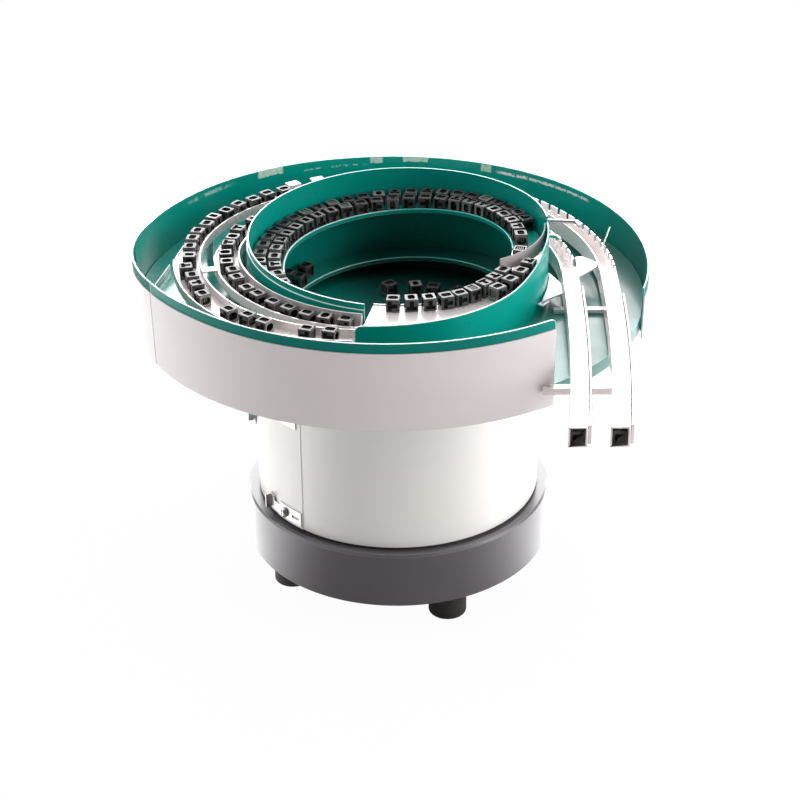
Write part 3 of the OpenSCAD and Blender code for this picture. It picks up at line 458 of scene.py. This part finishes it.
def spring_laminate():
    """Glass-fibre laminate; the plies run along the leaf."""
    s = Shader("Spring laminate")
    x, y, z = s.xyz()
    ply = s.noise(1.0, 3.0, 0.6, at=s.vector(x * 900.0, y * 900.0, z * 25.0))
    return s.set(Base_Color=s.mix(ply, (0.56, 0.47, 0.20), (0.70, 0.62, 0.36)), Roughness=0.42,
                 Normal=s.bump(ply, 0.00004, 0.4))


def core_stack():
    """Stacked iron sheets of the magnet."""
    s = Shader("Core stack")
    x, y, z = s.xyz()
    sheets = s.node("ShaderNodeTexWave", {"wave_type": "BANDS", "bands_direction": "Y"},
                    {"Vector": s.position, "Scale": 320.0, "Distortion": 0.4})
    return s.set(Base_Color=s.mix(sheets, (0.16, 0.16, 0.17), (0.32, 0.32, 0.33)), Metallic=0.9, Roughness=0.45,
                 Normal=s.bump(sheets, 0.0001, 0.4))


def coil_wire():
    """Varnished copper winding."""
    s = Shader("Coil winding")
    turns = s.node("ShaderNodeTexWave", {"wave_type": "BANDS", "bands_direction": "Z"},
                   {"Vector": s.position, "Scale": 220.0, "Distortion": 0.6})
    return s.set(Base_Color=s.mix(turns, (0.20, 0.05, 0.015), (0.55, 0.20, 0.07)), Metallic=0.6, Roughness=0.35,
                 Coat_Weight=0.5, Normal=s.bump(turns, 0.0003, 0.6))


def lane_sheet():
    """Bright ground sheet with slight handling marks."""
    s = Shader("Lane sheet")
    smear = s.noise(34.0, 4.0, 0.6)
    ground = s.noise(1.0, 2.0, 0.5, at=s.position)
    tone = s.mix(smear.step(0.35, 0.75) * 0.5, finish().lane, (0.87, 0.80, 0.805))
    return s.set(Base_Color=tone, Metallic=0.22, Roughness=0.26 + (smear - 0.5) * 0.14, Coat_Weight=0.15,
                 Coat_Roughness=0.12, Normal=s.bump(s.noise(500.0, 2.0) + ground, 0.00001, 0.3))


def lane_edge():
    """Deburred sheet edges, brighter than the faces; on the skirt's lap this brighter edge is painted light
    over the shade along the seam.
    """
    s = Shader("Lane edge")
    return s.set(Base_Color=s.mix(s.noise(60.0), (0.97, 0.96, 0.955), (0.90, 0.885, 0.88)), Metallic=0.1,
                 Roughness=0.3)


def sheared_edge():
    """Cut edges of the chute sheets, left dull."""
    s = Shader("Sheared edge")
    return s.set(Base_Color=s.mix(s.noise(90.0), (0.34, 0.29, 0.295), (0.44, 0.385, 0.39)), Roughness=0.6)


def dull_sheet():
    """Unpolished sheet of the deflector."""
    s = Shader("Dull sheet")
    cloud = s.noise(30.0, 4.0, 0.6)
    return s.set(Base_Color=s.mix(cloud, (0.52, 0.465, 0.465), (0.60, 0.545, 0.545)), Specular_IOR_Level=0.2,
                 Roughness=0.62 + (cloud - 0.5) * 0.1, Normal=s.bump(s.noise(500.0, 2.0), 0.00001, 0.3))


def base_rim():
    """Edges of the base, glossy under a built-up clear coat, and painted lighter than the base as a painted
    highlight.
    """
    s = Shader("Base rim")
    return s.set(Base_Color=s.mix(s.noise(40.0), (0.50, 0.47, 0.465), (0.40, 0.375, 0.375)), Roughness=0.3,
                 Coat_Weight=0.6, Coat_Roughness=0.15)


# What a face of a workpiece belongs to, in its attribute "part".
BODY, FRAME_FACE, BLADE, POCKET = 0.0, 1.0, 2.0, 3.0


def workpiece_plastic():
    """Black moulded plastic, paler on the frame round the window as a painted highlight, near black as painted
    shade in the window walls and pockets, with bright contact blades.
    """
    s = Shader("Workpiece plastic")
    shade = s.attribute("shade")
    cloud = s.noise(180.0, 3.0)

    def on(part):
        return s.attribute("part").between(part - 0.5, part + 0.5, 0.1)

    blade = on(BLADE)
    sunk = on(POCKET)
    tone = s.mix(cloud * 0.5 + shade * 0.5, finish().workpiece, (0.105, 0.097, 0.098))
    # Painted highlight: the frame faces round the window are pale grey, for the glare on the black plastic.
    tone = s.mix(on(FRAME_FACE) * (0.15 + 0.5 * shade), tone, (0.40, 0.38, 0.38))
    # Painted shade: the window walls and pockets are near black.
    tone = s.mix(sunk, tone, (0.006, 0.006, 0.006))
    tone = s.mix(blade, tone, (0.30, 0.28, 0.26))
    return s.set(Base_Color=tone, Roughness=0.27 + (cloud - 0.5) * 0.16 + sunk * 0.7, Metallic=blade * 0.8,
                 Normal=s.bump(s.noise(900.0), 0.00001, 0.3))


def floor_white():
    """Pale studio floor: white to the camera, and dark in front of the feeder in what gloss shows."""
    s = Shader("Studio floor")
    s.set(Base_Color=(0.92, 0.92, 0.92), Roughness=0.9)
    x, y, z = s.xyz()
    ahead = (0.0 - y) / ((x * x + y * y).sqrt() + 0.001)
    shown = s.mix(ahead.step(0.08, 0.92), (1.0, 1.0, 1.0), (0.072, 0.060, 0.060))
    glow = bpy.context.scene.feeder_stage.floor_glow
    reflected = s.node("ShaderNodeEmission", {}, {"Color": shown, "Strength": glow})
    seen = s.node("ShaderNodeEmission", {}, {"Color": (1.0, 1.0, 1.0), "Strength": 1.0})
    painted = Field(s, s.surface.outputs[0])
    lit = s.node("ShaderNodeMixShader", {}, {0: s.ray("Camera") * 0.97, 1: painted, 2: seen})
    blend = s.node("ShaderNodeMixShader", {}, {0: s.ray("Glossy"), 1: lit, 2: reflected})
    s.tree.links.new(blend.socket, s.tree.nodes["Material Output"].inputs[0])
    return s.material


# ---------------------------------------------------------------- meshes

SHARP = math.radians(32.0)
CREASE = math.radians(34.0)
FACING_UP = 0.6


def new_object(name, mesh):
    """A new object in the scene, at the origin."""
    obj = bpy.data.objects.new(name, mesh)
    bpy.context.scene.collection.objects.link(obj)
    return obj


def welded(node):
    """A copy of a CAD node's mesh as welded quads and flat faces."""
    bm = bmesh.new()
    bm.from_mesh(frame["nodes"][node].data)
    bmesh.ops.remove_doubles(bm, verts=bm.verts, dist=WELD)
    bmesh.ops.dissolve_degenerate(bm, edges=bm.edges, dist=0.001 * MM)
    bmesh.ops.dissolve_limit(bm, angle_limit=math.radians(0.06), verts=bm.verts, edges=bm.edges)
    bmesh.ops.join_triangles(bm, faces=bm.faces, angle_face_threshold=math.radians(2.5),
                             angle_shape_threshold=math.pi)
    return bm


def round_edges(bm, width):
    """Rounds the sharp edges; the new faces take the second material."""
    sharp = [e for e in bm.edges if len(e.link_faces) == 2 and e.calc_face_angle(0.0) > SHARP]
    if sharp:
        bmesh.ops.bevel(bm, geom=sharp, offset=width, segments=2, profile=0.5, affect="EDGES",
                        clamp_overlap=True, material=1)


def adopt(obj, node, materials):
    """obj stands for a CAD node: same body, with these materials, and the node hidden."""
    for made in materials:
        obj.data.materials.append(made)
    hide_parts(node)
    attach(obj, BODY_OF[node])
    return obj


def smooth(obj):
    """Smooth shading over what isn't an edge."""
    obj.data.shade_smooth()
    obj.data.set_sharp_from_angle(angle=CREASE)
    even = obj.modifiers.new("Even normals", "WEIGHTED_NORMAL")
    even.keep_sharp = True
    even.weight = 50


def dress(node, body, edge=None, width=None, top=None):
    """Gives a CAD node rounded edges and its finish. top picks upward faces that take the edge finish too."""
    bm = welded(node)
    if width:
        round_edges(bm, width)
    for face in bm.faces if top else ():
        if face.normal.z > FACING_UP and top(face.calc_center_median()):
            face.material_index = 1
    mesh = bpy.data.meshes.new(node)
    bm.to_mesh(mesh)
    bm.free()
    obj = new_object("dressed_" + node, mesh)
    smooth(obj)
    return adopt(obj, node, [material(body), material(edge or body)])


class FeederOperator(bpy.types.Operator):
    """Shared settings of the feeder's operators"""
    bl_options = {"REGISTER"}


class FEEDER_OT_base(FeederOperator):
    """Dress the cast base, its feet, gasket and gland"""
    bl_idname = "feeder.base"
    bl_label = "Base"

    def execute(self, context):
        dress("base_casting", base_metal, base_rim, finish().cast_edge)
        dress("rubber_feet", foot_rubber, width=finish().cast_edge)
        dress("foot_studs", plated_steel)
        dress("skirt_gasket", foot_rubber, width=finish().edge)
        dress("cable_gland", gland_plastic, width=finish().edge)
        return {"FINISHED"}


class FEEDER_OT_skirt(FeederOperator):
    """Dress the skirt with its seam, clamps and screws"""
    bl_idname = "feeder.skirt"
    bl_label = "Skirt"

    def execute(self, context):
        dress("skirt", skirt_paint, width=finish().edge)
        # Painted light: the lap's rounded edge takes the brighter edge colour, to lift the shade along the
        # seam.
        dress("skirt_lap", skirt_paint, lane_edge, 0.5 * MM)
        dress("skirt_clamps", plated_steel, width=0.25 * MM)
        dress("skirt_screws", plated_steel, width=0.2 * MM)
        return {"FINISHED"}


class FEEDER_OT_drive(FeederOperator):
    """Dress the springs, the magnet and the plate that carries the bowl"""
    bl_idname = "feeder.drive"
    bl_label = "Spring drive"

    def execute(self, context):
        for level in ("lower", "upper"):
            dress("spring_blocks_" + level, machined_steel, width=finish().edge)
            dress("spring_clamps_" + level, plated_steel, width=finish().edge)
            dress("spring_bolts_" + level, black_steel, width=0.3 * MM)
        dress("leaf_springs", spring_laminate, width=0.3 * MM)
        dress("magnet_bracket", machined_steel, width=finish().cast_edge)
        dress("magnet_core", core_stack, width=0.3 * MM)
        dress("magnet_coil", coil_wire, width=1.5 * MM)
        dress("armature", core_stack, width=0.3 * MM)
        dress("top_plate", machined_steel, width=finish().cast_edge)
        dress("centre_bolt", plated_steel, width=finish().edge)
        return {"FINISHED"}


def above(height):
    """Picks what lies higher than this."""
    return lambda point: point.z > height


def on_bead(point):
    """The bead stands along the inner edge of the track."""
    return (point.xy - BOWL_CENTRE.xy).length < TRACK_EDGE + 1.65 * MM


class FEEDER_OT_bowl(FeederOperator):
    """Dress the spiral bowl and its helical track"""
    bl_idname = "feeder.bowl"
    bl_label = "Spiral bowl"

    def execute(self, context):
        dress("bowl_floor", green_coat, width=finish().edge)
        dress("bowl_shell", green_coat)
        for wall in ("bowl_wall", "front_wall"):
            dress(wall, green_coat, coated_edge, finish().edge, top=above(BOWL_HIGH.z))
        for track in ("lower_track", "upper_track"):
            dress(track, green_coat, coated_edge, finish().edge, top=on_bead)
        return {"FINISHED"}


class FEEDER_OT_track_plate(FeederOperator):
    """Dress the white track plate and the deflector over it"""
    bl_idname = "feeder.track_plate"
    bl_label = "Track plate"

    def execute(self, context):
        dress("track_plate", lane_sheet, lane_edge, 0.25 * MM)
        dress("deflector", dull_sheet, sheared_edge, 0.3 * MM)
        return {"FINISHED"}


class FEEDER_OT_pan(FeederOperator):
    """Dress the return pan, its walls and its white shells"""
    bl_idname = "feeder.pan"
    bl_label = "Return pan"

    def execute(self, context):
        dress("pan_floor", floor_coat, coated_edge, finish().edge)
        for part, coat in (("rear", rear_coat), ("front", band_coat)):
            dress("pan_wall_" + part, coat, coated_edge, finish().edge, top=above(PAN_HIGH.z + 0.02))
            dress("outer_shell_" + part, shell_paint, width=0.3 * MM)
        dress("pan_gussets", green_coat, width=finish().edge)
        dress("floor_seam_strip", lane_sheet, width=0.3 * MM)
        return {"FINISHED"}


class FEEDER_OT_lanes(FeederOperator):
    """Dress the two curved lanes and what holds them"""
    bl_idname = "feeder.lanes"
    bl_label = "Curved lanes"

    def execute(self, context):
        for lane in ("inner_lane", "outer_lane"):
            dress(lane, lane_sheet, lane_edge)
        for piece in ("lane_posts", "lane_bridge", "lane_hangers", "lane_gusset", "lane_filler",
                      "filler_bracket"):
            dress(piece, lane_sheet, lane_edge, 0.2 * MM)
        return {"FINISHED"}


class FEEDER_OT_chutes(FeederOperator):
    """Dress the chute covers, rails, pins and bars"""
    bl_idname = "feeder.chutes"
    bl_label = "Straight chutes"

    def execute(self, context):
        for piece in ("chute_covers", "chute_side_rails", "bar_upper", "bar_lower"):
            dress(piece, lane_sheet, sheared_edge, 0.4 * MM)
        dress("rail_pins", black_steel)
        dress("wiper_rods", plated_steel)
        dress("lane_pin", plated_steel)
        return {"FINISHED"}


# ---------------------------------------------------------------- workpieces

def loose_parts(node):
    """Corner points of each separate solid in a node, in the mesh's own order."""
    bm = bmesh.new()
    bm.from_mesh(frame["nodes"][node].data)
    bmesh.ops.remove_doubles(bm, verts=bm.verts, dist=WELD)
    bm.verts.index_update()
    seen = set()
    parts = []
    for first in bm.verts:
        if first.index in seen:
            continue
        seen.add(first.index)
        stack = [first]
        part = []
        while stack:
            vert = stack.pop()
            part.append(vert.co.copy())
            for edge in vert.link_edges:
                other = edge.other_vert(vert)
                if other.index not in seen:
                    seen.add(other.index)
                    stack.append(other)
        parts.append(part)
    bm.free()
    return parts


def workpiece_pose(points):
    """Centre, turn and edge of one workpiece; its window runs along its own Z."""
    centre = sum(points, Vector()) / len(points)
    ranked = sorted(points, key=lambda p: -(p - centre).length)
    corners, window = ranked[:8], ranked[8:]
    near = sorted(corners[1:], key=lambda p: (p - corners[0]).length)[:3]
    axes = [(p - corners[0]).normalized() for p in near]
    reach = [max(abs((p - centre).dot(a)) for p in window) for a in axes]
    order = sorted(range(3), key=lambda i: reach[i])
    x, y, z = axes[order[0]], axes[order[1]], axes[order[2]]
    if x.cross(y).dot(z) < 0:
        x = -x
    turn = Matrix((x, y, z)).transposed().to_euler()
    edge = (near[0] - corners[0]).length
    return centre, turn, edge


HALF_EDGE_UNITS = 5.1
BLADES = 3
FIRST_SEED = 5
# Half width, half height and corner radius of the window of each kind of workpiece, and its ribs.
WINDOWS = ((3.8, 2.7, 1.9, 0), (3.4, 2.3, 1.2, 0), (3.8, 3.1, 0.8, 4), (3.8, 3.0, 2.4, 0))


def rounded(half_x, half_y, radius):
    """Outline of a rectangle with round corners."""
    points = []
    for quarter, (sx, sy) in enumerate(((1, 1), (-1, 1), (-1, -1), (1, -1))):
        for step in range(4):
            turn = math.radians(90.0 * quarter + 30.0 * step)
            points.append((sx * (half_x - radius) + radius * math.cos(turn),
                           sy * (half_y - radius) + radius * math.sin(turn)))
    return points


def mirrored(right_half):
    """Outline that is the same on both sides of its middle line."""
    return right_half + [(-x, y) for x, y in reversed(right_half)]


def workpiece_template(edge, shape):
    """Connector body: a window right through it, a T-shaped pocket, a slot, and contact blades or ribs.
    Its outlines are drawn in units of which the body's half edge has HALF_EDGE_UNITS, and shape gives
    its window."""
    window_x, window_y, corner, ribs = shape
    half = edge / 2
    flat = half - 0.4 * MM
    unit = half / HALF_EDGE_UNITS
    tee = mirrored([(1.7 * unit, -3.6 * unit), (1.7 * unit, 0.7 * unit), (3.8 * unit, 0.7 * unit),
                    (3.8 * unit, 3.7 * unit)])
    slot = rounded(3.8 * unit, 2.7 * unit, 1.9 * unit)
    through = rounded(window_x * unit, window_y * unit, corner * unit)
    square = [(-flat, -flat), (flat, -flat), (flat, flat), (-flat, flat)]
    bm = bmesh.new()
    part = bm.faces.layers.float.new("part")

    def point(axis, x, y, height):
        place = [0.0, 0.0, 0.0]
        place[axis] = height
        place[(axis + 1) % 3] = x
        place[(axis + 2) % 3] = y
        return bm.verts.new(place)

    for axis in range(3):
        for height in (-half, half):
            for x, y in square:
                point(axis, x, y, height)
    bmesh.ops.convex_hull(bm, input=bm.verts)
    flats = [f for f in bm.faces if max(abs(c) for c in f.normal) > 0.99]
    bmesh.ops.delete(bm, geom=flats, context="FACES_ONLY")
    for axis, outline, depth in ((2, through, None), (0, tee, 1.2 * MM), (1, slot, 1.2 * MM)):
        for side in (-1, 1):
            loops = [[Vector((x, y, 0.0)) for x, y in loop] for loop in (square, outline)]
            verts = [point(axis, v.x, v.y, side * half) for loop in loops for v in loop]
            for triangle in tessellate_polygon(loops):
                face = bm.faces.new([verts[i] for i in triangle])
                face[part] = FRAME_FACE if axis == 2 else BODY
            foot = 0.0 if depth is None else side * (half - depth)
            inner = [point(axis, x, y, foot) for x, y in outline]
            for i, vert in enumerate(verts[4:]):
                j = (i + 1) % len(outline)
                bm.faces.new((vert, verts[4 + j], inner[j], inner[i]))[part] = POCKET
            if depth is not None:
                bm.faces.new(inner)[part] = POCKET
    bmesh.ops.remove_doubles(bm, verts=bm.verts, dist=0.001 * MM)
    bmesh.ops.recalc_face_normals(bm, faces=bm.faces)
    count = ribs or BLADES
    height, drop = (1.9 * half, 0.0) if ribs else (0.9 * half, -0.2 * half)
    for number in range(count):
        place = (2.0 * (number + 1) / (count + 1) - 1.0) * window_x * unit
        made = bmesh.ops.create_cube(bm, size=1.0)["verts"]
        bmesh.ops.scale(bm, vec=(0.5 * MM, window_y * unit * 1.99, height), verts=made)
        bmesh.ops.translate(bm, vec=(place, 0.0, drop), verts=made)
        for face in {f for v in made for f in v.link_faces}:
            face[part] = FRAME_FACE if ribs else BLADE
    mesh = bpy.data.meshes.new("workpiece_template")
    bm.to_mesh(mesh)
    bm.free()
    return new_object("workpiece_template", mesh)


def placing_tree():
    """Geometry Nodes: the template on each point, turned as the point says, with a shade of its own."""
    tree = bpy.data.node_groups.new("Workpiece placing", "GeometryNodeTree")
    tree.interface.new_socket("Points", in_out="INPUT", socket_type="NodeSocketGeometry")
    for number in range(len(WINDOWS)):
        tree.interface.new_socket(f"Workpiece {number}", in_out="INPUT", socket_type="NodeSocketObject")
    tree.interface.new_socket("Finish", in_out="INPUT", socket_type="NodeSocketMaterial")
    seed = tree.interface.new_socket("Seed", in_out="INPUT", socket_type="NodeSocketInt")
    seed.default_value = FIRST_SEED
    tree.interface.new_socket("Geometry", in_out="OUTPUT", socket_type="NodeSocketGeometry")

    def add(kind, **settings):
        made = tree.nodes.new(kind)
        for key, value in settings.items():
            setattr(made, key, value)
        return made

    def link(source, target):
        tree.links.new(source, target)

    given = add("NodeGroupInput")
    points = add("GeometryNodeMeshToPoints")
    turn = add("GeometryNodeInputNamedAttribute", data_type="FLOAT_VECTOR")
    turn.inputs["Name"].default_value = "turn"
    as_turn = add("FunctionNodeEulerToRotation")
    shapes = add("GeometryNodeJoinGeometry")
    choice = add("FunctionNodeRandomValue", data_type="INT")
    choice.inputs[4].default_value = 0
    choice.inputs[5].default_value = len(WINDOWS) - 1
    place = add("GeometryNodeInstanceOnPoints")
    shade = add("FunctionNodeRandomValue", data_type="FLOAT")
    store = add("GeometryNodeStoreNamedAttribute", data_type="FLOAT", domain="INSTANCE")
    store.inputs["Name"].default_value = "shade"
    realize = add("GeometryNodeRealizeInstances")
    paint = add("GeometryNodeSetMaterial")
    result = add("NodeGroupOutput")
    link(given.outputs["Points"], points.inputs["Mesh"])
    link(points.outputs[0], place.inputs["Points"])
    for number in reversed(range(len(WINDOWS))):
        template = add("GeometryNodeObjectInfo")
        template.inputs["As Instance"].default_value = True
        link(given.outputs[f"Workpiece {number}"], template.inputs["Object"])
        link(template.outputs["Geometry"], shapes.inputs[0])
    link(shapes.outputs[0], place.inputs["Instance"])
    place.inputs["Pick Instance"].default_value = True
    link(given.outputs["Seed"], choice.inputs["Seed"])
    link(choice.outputs[2], place.inputs["Instance Index"])
    link(turn.outputs["Attribute"], as_turn.inputs[0])
    link(as_turn.outputs[0], place.inputs["Rotation"])
    link(place.outputs[0], store.inputs["Geometry"])
    link(given.outputs["Seed"], shade.inputs["Seed"])
    link(shade.outputs[1], store.inputs["Value"])
    link(store.outputs[0], realize.inputs[0])
    link(realize.outputs[0], paint.inputs[0])
    link(given.outputs["Finish"], paint.inputs["Material"])
    link(paint.outputs[0], result.inputs[0])
    return tree


class FEEDER_OT_workpieces(FeederOperator):
    """Put a detailed workpiece in the place of each plain one"""
    bl_idname = "feeder.workpieces"
    bl_label = "Workpieces"

    def execute(self, context):
        tree = placing_tree()
        ids = {item.name: item.identifier for item in tree.interface.items_tree if item.in_out == "INPUT"}
        nodes = [n for n in BODY_OF if n.startswith("workpieces")]
        templates = []
        for number, node in enumerate(sorted(nodes)):
            poses = [workpiece_pose(part) for part in loose_parts(node)]
            if not templates:
                templates = [workpiece_template(poses[0][2], shape) for shape in WINDOWS]
            mesh = bpy.data.meshes.new(node)
            mesh.from_pydata([p[0] for p in poses], [], [])
            turns = mesh.attributes.new("turn", "FLOAT_VECTOR", "POINT")
            turns.data.foreach_set("vector", [c for p in poses for c in p[1]])
            spots = new_object(node + "_spots", mesh)
            placing = spots.modifiers.new("Placing", "NODES")
            placing.node_group = tree
            for choice, template in enumerate(templates):
                placing[ids[f"Workpiece {choice}"]] = template
            placing[ids["Finish"]] = material(workpiece_plastic)
            placing[ids["Seed"]] = FIRST_SEED + number
            depsgraph = context.evaluated_depsgraph_get()
            placed = bpy.data.meshes.new_from_object(spots.evaluated_get(depsgraph))
            bpy.data.objects.remove(spots)
            obj = new_object("detailed_" + node, placed)
            obj.data.shade_smooth()
            obj.data.set_sharp_from_angle(angle=math.radians(40))
            adopt(obj, node, [] if obj.data.materials else [material(workpiece_plastic)])
        for template in templates:
            bpy.data.objects.remove(template)
        return {"FINISHED"}


# ---------------------------------------------------------------- stage

CAMERA_SHIFT = (0.00315, 0.00274)
FLOOR_REACH = 6.0


def softbox(name, place, aim, width, height, power):
    """A rectangular lamp that faces its aim."""
    lamp = bpy.data.lights.new(name, "AREA")
    lamp.shape = "RECTANGLE"
    lamp.size = width
    lamp.size_y = height
    lamp.energy = power
    obj = new_object(name, lamp)
    obj.location = place
    obj.rotation_euler = (Vector(aim) - Vector(place)).to_track_quat("-Z", "Y").to_euler()
    return obj


def studio_world(stage):
    """Bright beside and behind the feeder, dimmer in front; white to the camera."""
    world = bpy.data.worlds.new("Studio")
    bpy.context.scene.world = world
    world.use_nodes = True
    sky = NodeTree(world.node_tree)
    direction = sky.node("ShaderNodeTexCoord", {}, {}, "Generated")
    backward = sky.node("ShaderNodeSeparateXYZ", {}, {0: direction}, 1)

    def ramp(low, high, near, far):
        settings = {"interpolation_type": "SMOOTHSTEP"}
        return sky.node("ShaderNodeMapRange", settings, {0: backward, 1: low, 2: high, 3: near, 4: far})

    def either(kind, others, shown):
        """shown to rays of this kind, others to the rest."""
        return sky.node("ShaderNodeMix", {}, {0: sky.ray(kind), 2: others, 3: shown})

    soft = ramp(-0.85, 0.15, stage.front, stage.around)
    glare = ramp(0.62, 0.80, 0.0, stage.back_light - 1.0)
    level = either("Glossy", soft, ramp(-0.72, -0.10, stage.dark_front, 1.0) + glare)
    level = either("Camera", either("Transmission", level, 1.0), 1.0)
    warmth = ramp(-0.9, -0.2, 1.0, 0.0) * (1.0 - sky.ray("Camera"))
    background = sky.tree.nodes["Background"]
    sky.feed(background.inputs["Strength"], level)
    sky.feed(background.inputs["Color"], sky.mix(warmth, (1.0, 1.0, 1.0), (1.0, 0.86, 0.84)))


class FEEDER_OT_stage(FeederOperator):
    """Set the floor, the light and the camera"""
    bl_idname = "feeder.stage"
    bl_label = "Stage"

    def execute(self, context):
        stage = context.scene.feeder_stage
        bpy.context.scene.view_settings.view_transform = "Standard"
        mesh = bpy.data.meshes.new("studio_floor")
        corners = [(x * FLOOR_REACH, y * FLOOR_REACH, 0) for x, y in ((-1, -1), (1, -1), (1, 1), (-1, 1))]
        mesh.from_pydata(corners, [], [(0, 1, 2, 3)])
        floor = new_object("studio_floor", mesh)
        mesh.materials.append(material(floor_white))
        studio_world(stage)
        softbox("left softbox", (-1.5, 0.1, 0.8), (0, 0, 0.2), 0.8, 1.4, 0.6 * stage.side_lamps)
        softbox("right softbox", (1.5, -0.1, 0.8), (0, 0, 0.2), 0.8, 1.4, stage.side_lamps)
        softbox("front softbox", (1.5, -0.65, 0.65), (0, 0, 0.2), 0.7, 1.1, stage.front_lamp)
        softbox("top softbox", (0.0, 0.7, 1.7), (0, 0, 0.25), 1.4, 1.0, stage.top_lamp)
        camera = bpy.data.cameras.new("Camera")
        camera.sensor_width = 36.0
        camera.lens = stage.lens
        camera.shift_x, camera.shift_y = CAMERA_SHIFT
        camera.clip_end = 50.0
        eye = new_object("Camera", camera)
        forward = Vector((0.0, math.cos(stage.pitch), -math.sin(stage.pitch)))
        up = Vector((0.0, math.sin(stage.pitch), math.cos(stage.pitch)))
        right = Vector((1.0, 0.0, 0.0))
        level_right = right * math.cos(stage.roll) + up * math.sin(stage.roll)
        level_up = up * math.cos(stage.roll) - right * math.sin(stage.roll)
        place = Vector((0.0, 0.0, stage.aim)) - forward * stage.distance
        turn = Matrix((level_right, level_up, -forward)).transposed().to_4x4()
        eye.matrix_world = Matrix.Translation(place) @ turn
        bpy.context.scene.camera = eye
        return {"FINISHED"}


class FEEDER_PT_panel(bpy.types.Panel):
    """The feeder's operators and settings"""
    bl_idname = "FEEDER_PT_panel"
    bl_label = "Bowl feeder"
    bl_space_type = "VIEW_3D"
    bl_region_type = "UI"
    bl_category = "Feeder"

    def draw(self, context):
        for operator in OPERATORS:
            self.layout.operator(operator.bl_idname)
        for settings in (context.scene.feeder_finish, context.scene.feeder_stage):
            for name in settings.__annotations__:
                self.layout.prop(settings, name)


OPERATORS = (FEEDER_OT_base, FEEDER_OT_skirt, FEEDER_OT_drive, FEEDER_OT_bowl, FEEDER_OT_track_plate,
             FEEDER_OT_pan, FEEDER_OT_lanes, FEEDER_OT_chutes, FEEDER_OT_workpieces, FEEDER_OT_stage)


def register():
    for cls in (FeederFinish, FeederStage, *OPERATORS, FEEDER_PT_panel):
        bpy.utils.register_class(cls)
    bpy.types.Scene.feeder_finish = PointerProperty(type=FeederFinish)
    bpy.types.Scene.feeder_stage = PointerProperty(type=FeederStage)


def unregister():
    del bpy.types.Scene.feeder_finish
    del bpy.types.Scene.feeder_stage
    for cls in reversed((FeederFinish, FeederStage, *OPERATORS, FEEDER_PT_panel)):
        bpy.utils.unregister_class(cls)


def main():
    register()
    bpy.ops.feeder.stage()
    bpy.ops.feeder.base()
    bpy.ops.feeder.skirt()
    bpy.ops.feeder.drive()
    bpy.ops.feeder.bowl()
    bpy.ops.feeder.track_plate()
    bpy.ops.feeder.pan()
    bpy.ops.feeder.lanes()
    bpy.ops.feeder.chutes()
    bpy.ops.feeder.workpieces()


if __name__ == "__main__":
    main()
